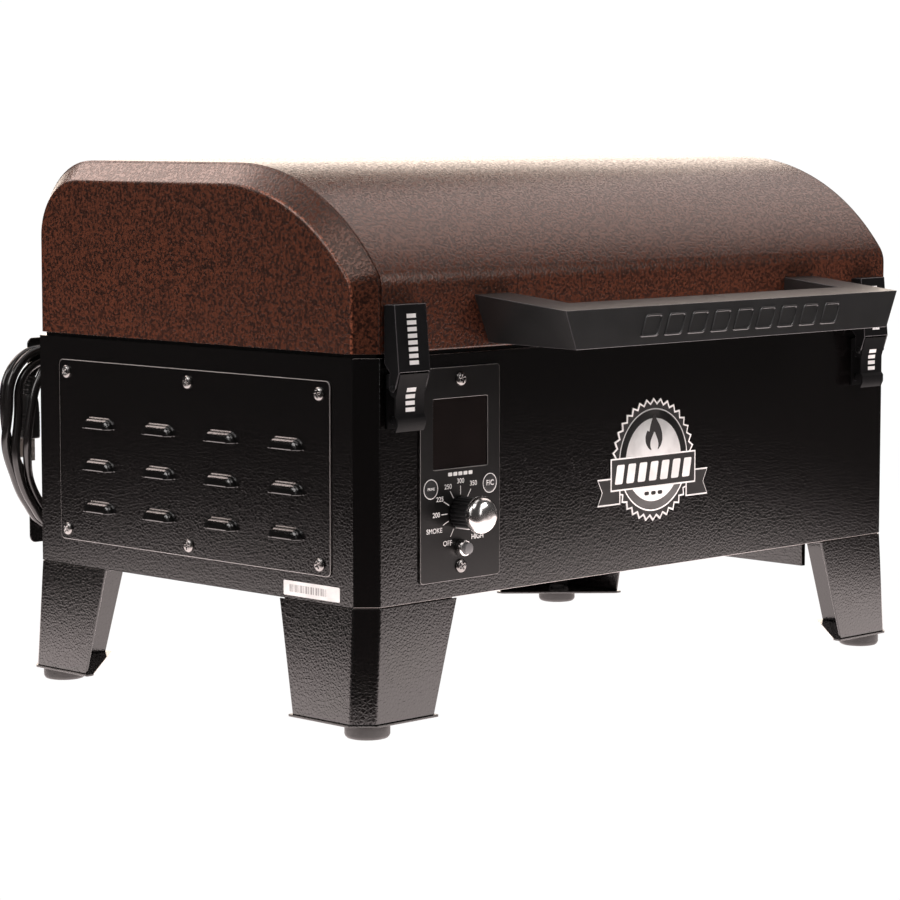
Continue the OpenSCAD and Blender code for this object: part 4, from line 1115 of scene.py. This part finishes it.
# ---- badge and label
BADGE_X, BADGE_Z, BADGE_R = 2.0, 96.5, 55.0
SEAL_TEETH = 36
FLAME = [(0.0, 33.0), (5.5, 24.0), (12.5, 15.5), (17.0, 6.0), (18.0, -4.0), (14.5, -12.5),
         (7.5, -18.5), (10.0, -11.0), (8.5, -4.5), (4.5, 2.5), (1.5, 8.5), (-2.5, 2.0),
         (-6.5, -5.0), (-7.0, -12.0), (-3.5, -18.5), (-11.5, -14.0), (-16.5, -6.5), (-17.0, 2.5),
         (-12.5, 10.5), (-9.0, 7.0), (-7.5, 14.5), (-4.0, 22.5)]
RIBBON = [(-57.0, -24.5), (57.0, -24.5), (57.0, 4.5), (-57.0, 4.5)]
RIBBON_TAIL = [(44.0, -36.5), (74.0, -36.5), (68.0, -24.5), (74.0, -12.5), (44.0, -12.5)]


def inset_of(outline, by):
    """A convex or nearly convex outline drawn in towards its middle by a few millimetres."""
    middle = Vector((sum(p[0] for p in outline), sum(p[1] for p in outline))) / len(outline)
    low = Vector((min(p[0] for p in outline), min(p[1] for p in outline)))
    high = Vector((max(p[0] for p in outline), max(p[1] for p in outline)))
    share = [1 - 2 * by / (high[k] - low[k]) for k in (0, 1)]
    return [tuple(middle[k] + (p[k] - middle[k]) * share[k] for k in (0, 1)) for p in outline]


def badge():
    """A plain toothed seal: a black ring, a flame, and a ribbon with a row of bars."""
    white = MATERIALS["badge_print"]

    def flat(outline, low, high, material):
        placed = [(BADGE_X + a, BADGE_Z + b) for a, b in outline]
        return prism("art", placed, "y", -high, -low, "badge_print", material, False)

    def seal(outer, inner, low, high, material):
        radii = [inner if k % 2 else outer for k in range(2 * SEAL_TEETH)]
        turns = [math.pi * k / SEAL_TEETH for k in range(2 * SEAL_TEETH)]
        line = [(r * math.sin(a), r * math.cos(a)) for r, a in zip(radii, turns)]
        return flat(line, low, high, material)

    made = [seal(BADGE_R, 50.5, 0, 0.80, white),
            seal(BADGE_R - 2.2, 48.6, 0.3, 0.84, BADGE_BLACK)]
    for radius, depth, material in ((45.8, 0.88, white), (44.6, 0.92, BADGE_BLACK),
                                    (37.0, 0.96, white)):
        made.append(disc(BADGE_X, BADGE_Z, radius, depth, material))
    flame = [(a * 0.66, b * 0.66 + 20.0) for a, b in eased(FLAME, 3.5, 4, closed=True)]
    made.append(flat(flame, 0.9, 1.0, BADGE_BLACK))
    for k in (-1, 0, 1):
        bar = rounded_rect(k * 9 - 3.2, k * 9 + 3.2, -31.5, -28.0, 1.5, 4)
        made.append(flat(bar, 0.9, 1.0, BADGE_BLACK))
    for side in (-1, 1):
        tail = [(side * a, b) for a, b in RIBBON_TAIL]
        made.append(flat(tail, 0.7, 1.0, white))
        made.append(flat(inset_of(tail, 1.3), 0.9, 1.04, BADGE_BLACK))
    made.append(flat(RIBBON, 0.9, 1.08, white))
    made.append(flat(inset_of(RIBBON, 1.4), 1.0, 1.12, BADGE_BLACK))
    for x in range(-45, 46, 15):
        bar = [(x - 6.6, -18.5), (x + 3.4, -18.5), (x + 6.6, -1.5), (x - 3.4, -1.5)]
        made.append(flat(eased(bar, 1.6, 3, closed=True), 1.05, 1.18, white))
    return joined(made, "badge_seal")


onto(badge(), CABINET, "badge")


def end_label():
    """A plain white label low on the left end, with a row of thin bars."""
    y0, y1, z0, z1 = 31.2, 99.5, 2.6, 15.0
    made = [prism("label", rounded_rect(y0, y1, z0, z1, 1.0, 3), "x", LEFT - 0.16, LEFT - 0.01,
                  COAT, LABEL_WHITE, False)]
    for k in range(22):
        width = 0.55 + 0.5 * ((k * 7) % 3)
        start = y0 + 16.5 + k * 2.1
        made.append(prism("bar", [(start, z0 + 3.2), (start + width, z0 + 3.2),
                                  (start + width, z1 - 3.0), (start, z1 - 3.0)],
                          "x", LEFT - 0.2, LEFT - 0.1, COAT, GREY_PRINT, False))
    return joined(made, "end_label")


onto(end_label(), CABINET)


# ---- latches
LATCH_XS = (-313.0, 300.5)
LATCH_SHEET = 1.5
BAR_HALF, BAR_H, BAR_PITCH = 5.2, 3.4, 5.4


def rivet(x, y, z, side):
    """A domed head that points left or right."""
    profile = [(0, 0), (3.0, 0), (2.85, 0.5), (1.8, 1.0), (0, 1.15)]
    return lathe("rivet", profile, at(x, y, z), (side, 0, 0), "latch_black", 24)


def marks(x, low, count, plate_y):
    """White bars printed across a latch plate, whose front is at plate_y of a height."""
    made = []
    for k in range(count):
        start = low + BAR_PITCH * k
        points = []
        for z in (start, start + BAR_H):
            for dx in (-BAR_HALF, BAR_HALF):
                points += [at(x + dx, plate_y(z) - 0.14, z), at(x + dx, plate_y(z) + 0.3, z)]
        faces = [(0, 2, 6, 4), (1, 5, 7, 3), (0, 4, 5, 1), (2, 3, 7, 6), (0, 1, 3, 2), (4, 6, 7, 5)]
        made.append(mesh_piece("mark", points, faces, "latch_black", WHITE_PRINT, False))
    return made


def cheeked_plate(name, x, half, outline, cheek, rounding):
    """A folded plate across x with a cheek at each side, and a painted highlight on its rounded edges.
    """
    plate = prism(name, outline, "x", x - half, x + half, "latch_black")
    for side in (-1, 1):
        edges = sorted((x + side * half, x + side * (half - LATCH_SHEET)))
        combine_prism(plate, cheek, "x", *edges, "UNION")
    return soften(plate, rounding, edge=GRIP_EDGE_HIGHLIGHT)


def catch_arm(x, name, body, node):
    """The upper plate, hooked over the keeper, with a rivet at each side of its pivot."""
    half = 18.0
    outline = [(-14, 248), (-19, 193), (-17.4, 193), (-12.5, 246.5), (-5, 246.5), (-5, 248)]
    cheek = [(-1.8, 247), (-5, 248), (-14, 248), (-19, 193), (-15, 181), (-12.5, 177),
             (-9.5, 177), (-8, 181), (-8, 193), (-1.8, 200)]
    plate = cheeked_plate(name, x, half, outline, cheek, 0.8)
    heads = [rivet(x + side * half, -11.5, 180, side) for side in (-1, 1)]
    bars = marks(x, 199, 8, lambda z: -19 + (z - 193) * 5 / 55)
    onto(joined([plate, *heads, *bars], name), body, node)


def latch_lever(x, name, body, node):
    """The lower plate, whose curled end is pulled to open the latch."""
    outline = [(-18.5, 191.5), (-13.5, 173), (-13.5, 158), (-15.6, 155.4), (-15.6, 149.4),
               (-13.2, 144.3), (-11.8, 145), (-14.1, 149.8), (-14.1, 154.9), (-12, 157.5),
               (-12, 173.2), (-16.9, 191.5)]
    cheek = [(-3, 191), (-18, 191.5), (-13.5, 173), (-9, 173), (-3, 181)]
    plate = cheeked_plate(name, x, 16.0, outline, cheek, 0.55)
    bars = marks(x, 160.5, 4, lambda z: -13.5 - max(0.0, z - 173) * 5 / 18.5)
    onto(joined([plate, *bars], name), body, node)


for x, side in zip(LATCH_XS, ("left", "right")):
    catch_arm(x, "catch_plate_" + side, "catch_" + side, "latch_arm_" + side)
    latch_lever(x, "lever_plate_" + side, "lever_" + side, "latch_lever_" + side)


# ---- cord cleats
def cleats():
    """Two folded cleats: a foot on the rear panel, an arm and a lip that points away."""
    made = []
    for arm, tip in (((168.0, 170.0), 197.0), ((43.5, 45.5), 7.0)):
        outline = rounded_rect(-320, -290, min(tip, arm[0]), max(tip, arm[1]), 6.0)
        lip = prism("lip", outline, "y", 481, 483, COAT)
        foot = prism("foot", outline, "y", 440.05, 441.5, COAT)
        strut = prism("strut", [(441.0, arm[0]), (481.5, arm[0]), (481.5, arm[1]),
                                (441.0, arm[1])], "x", -310, -300, COAT)
        made += [soften(lip, 0.6), soften(foot, 0.4, 2), soften(strut, 0.5, 2)]
    return joined(made, "cord_cleats_folded")


onto(cleats(), CABINET, "cord_cleats")


# ---- CAD nodes that stay
def finish_cad_nodes():
    """Every CAD node gets its slot's material, and shading that keeps flat faces flat."""
    for name, node in NODES.items():
        node.data.materials.clear()
        node.data.materials.append(MATERIALS[SLOT_OF[name]])
        node.data.set_sharp_from_angle(angle=math.radians(FOLD_DEG))
        for polygon in node.data.polygons:
            polygon.use_smooth = True


finish_cad_nodes()


# ---- floor and light
FLOOR_R, FLOOR_SIDES = 3.2, 96
TABLE_GLOW = 3.35
SEEN_WHITE = 1.02
WORLD_GLOW = 0.045


def seen_white(tree, kind, colour, strength):
    """Ends a node tree: white to the camera, and this colour and strength to all other rays."""
    lit = tree.nodes.new(kind)
    lit.inputs["Color"].default_value = colour
    if isinstance(strength, float):
        lit.inputs["Strength"].default_value = strength
    else:
        tree.links.new(strength, lit.inputs["Strength"])
    seen = tree.nodes.new(kind)
    seen.inputs["Color"].default_value = (1.0, 1.0, 1.0, 1.0)
    seen.inputs["Strength"].default_value = SEEN_WHITE
    rays = tree.nodes.new("ShaderNodeLightPath")
    mix = tree.nodes.new("ShaderNodeMixShader")
    sources = (rays.outputs["Is Camera Ray"], lit.outputs[0], seen.outputs[0])
    for source, socket in zip(sources, mix.inputs):
        tree.links.new(source, socket)
    output = [node for node in tree.nodes if node.type.startswith("OUTPUT")][0]
    tree.links.new(mix.outputs["Shader"], output.inputs["Surface"])


def floor_material():
    """A table that looks white. Its own light comes from the sides and fades at the near corner."""
    n = Nodes("studio_floor")

    def along(x, y):
        return n.add("ShaderNodeVectorMath", {0: n.place, 1: (x, y, 0.0)},
                     operation="DOT_PRODUCT").outputs["Value"]

    aside = n.math("SUBTRACT", n.math("ABSOLUTE", along(1.0, 0.0)), 0.35)
    ahead = n.math("SUBTRACT", n.math("ABSOLUTE", along(0.0, 1.0)), 0.27)
    lobe = n.span(n.math("MAXIMUM", aside, ahead), 0.20, 0.80, 1.0, 0.0)
    right = n.span(along(1.0, 0.0), 0.62, 1.00, 1.0, 0.2)
    front = n.span(along(0.709, 0.705), -0.66, -0.46)
    glow = n.math("MULTIPLY", n.math("MULTIPLY", lobe, right), front)
    glow = n.math("ADD", n.math("MULTIPLY", glow, TABLE_GLOW), 0.05)
    seen_white(n.tree, "ShaderNodeEmission", (1.0, 0.875, 0.85, 1.0), glow)
    return n.material


floor_mesh = bpy.data.meshes.new("floor")
rim = [(FLOOR_R * math.cos(a), FLOOR_R * math.sin(a), 0.0)
       for a in (2 * math.pi * k / FLOOR_SIDES for k in range(FLOOR_SIDES))]
floor_mesh.from_pydata(rim, [], [tuple(range(FLOOR_SIDES))])
floor_mesh.materials.append(floor_material())
floor = new_object("floor", floor_mesh)

world = bpy.data.worlds.new("studio")
SCENE.world = world
world.use_nodes = True
seen_white(world.node_tree, "ShaderNodeBackground", (1.0, 0.96, 0.94, 1.0), WORLD_GLOW)


def softbox(name, place, target, width, height, radiance, colour=(1.0, 0.965, 0.95)):
    """A soft rectangular light of a given brightness, unseen by the camera."""
    light = bpy.data.lights.new(name, "AREA")
    light.shape = "RECTANGLE"
    light.size = width
    light.size_y = height
    light.energy = radiance * width * height * math.pi
    light.color = colour
    lamp = new_object(name, light)
    lamp.visible_camera = False
    aim = Vector(target) - Vector(place)
    turn = aim.to_track_quat("-Z", "Y").to_matrix().to_4x4()
    lamp.matrix_world = Matrix.Translation(Vector(place)) @ turn


softbox("top_box", (-0.1, 0.45, 2.0), (0.0, 0.0, 0.2), 1.6, 1.6, 1.2)
softbox("left_key", (-2.4, 0.9, 1.75), (0.0, 0.0, 0.25), 1.5, 1.2, 6.0)
softbox("front_key", (0.9, -2.4, 1.75), (0.0, 0.0, 0.25), 1.5, 1.2, 6.0)
softbox("right_box", (2.1, 0.3, 2.6), (0.0, 0.0, 0.4), 2.0, 2.4, 1.65, (1.0, 0.88, 0.84))
softbox("rear_box", (2.6, 3.35, 1.25), (0.0, 0.0, 0.4), 3.3, 1.9, 3.4, (1.0, 0.86, 0.74))
softbox("left_rear_box", (-0.5, 2.15, 2.15), (-0.2, 0.0, 0.35), 1.3, 1.1, 6.0, (1.0, 0.84, 0.78))
softbox("left_box", (-1.45, -0.55, 2.0), (-0.25, -0.1, 0.35), 0.9, 0.9, 3.0)
softbox("left_strip", (-2.3, -0.1, 0.75), (-0.3, 0.0, 0.3), 0.35, 1.1, 0.9)
softbox("front_strip", (-0.1, -2.3, 0.75), (0.0, -0.3, 0.3), 0.35, 1.1, 3.0)
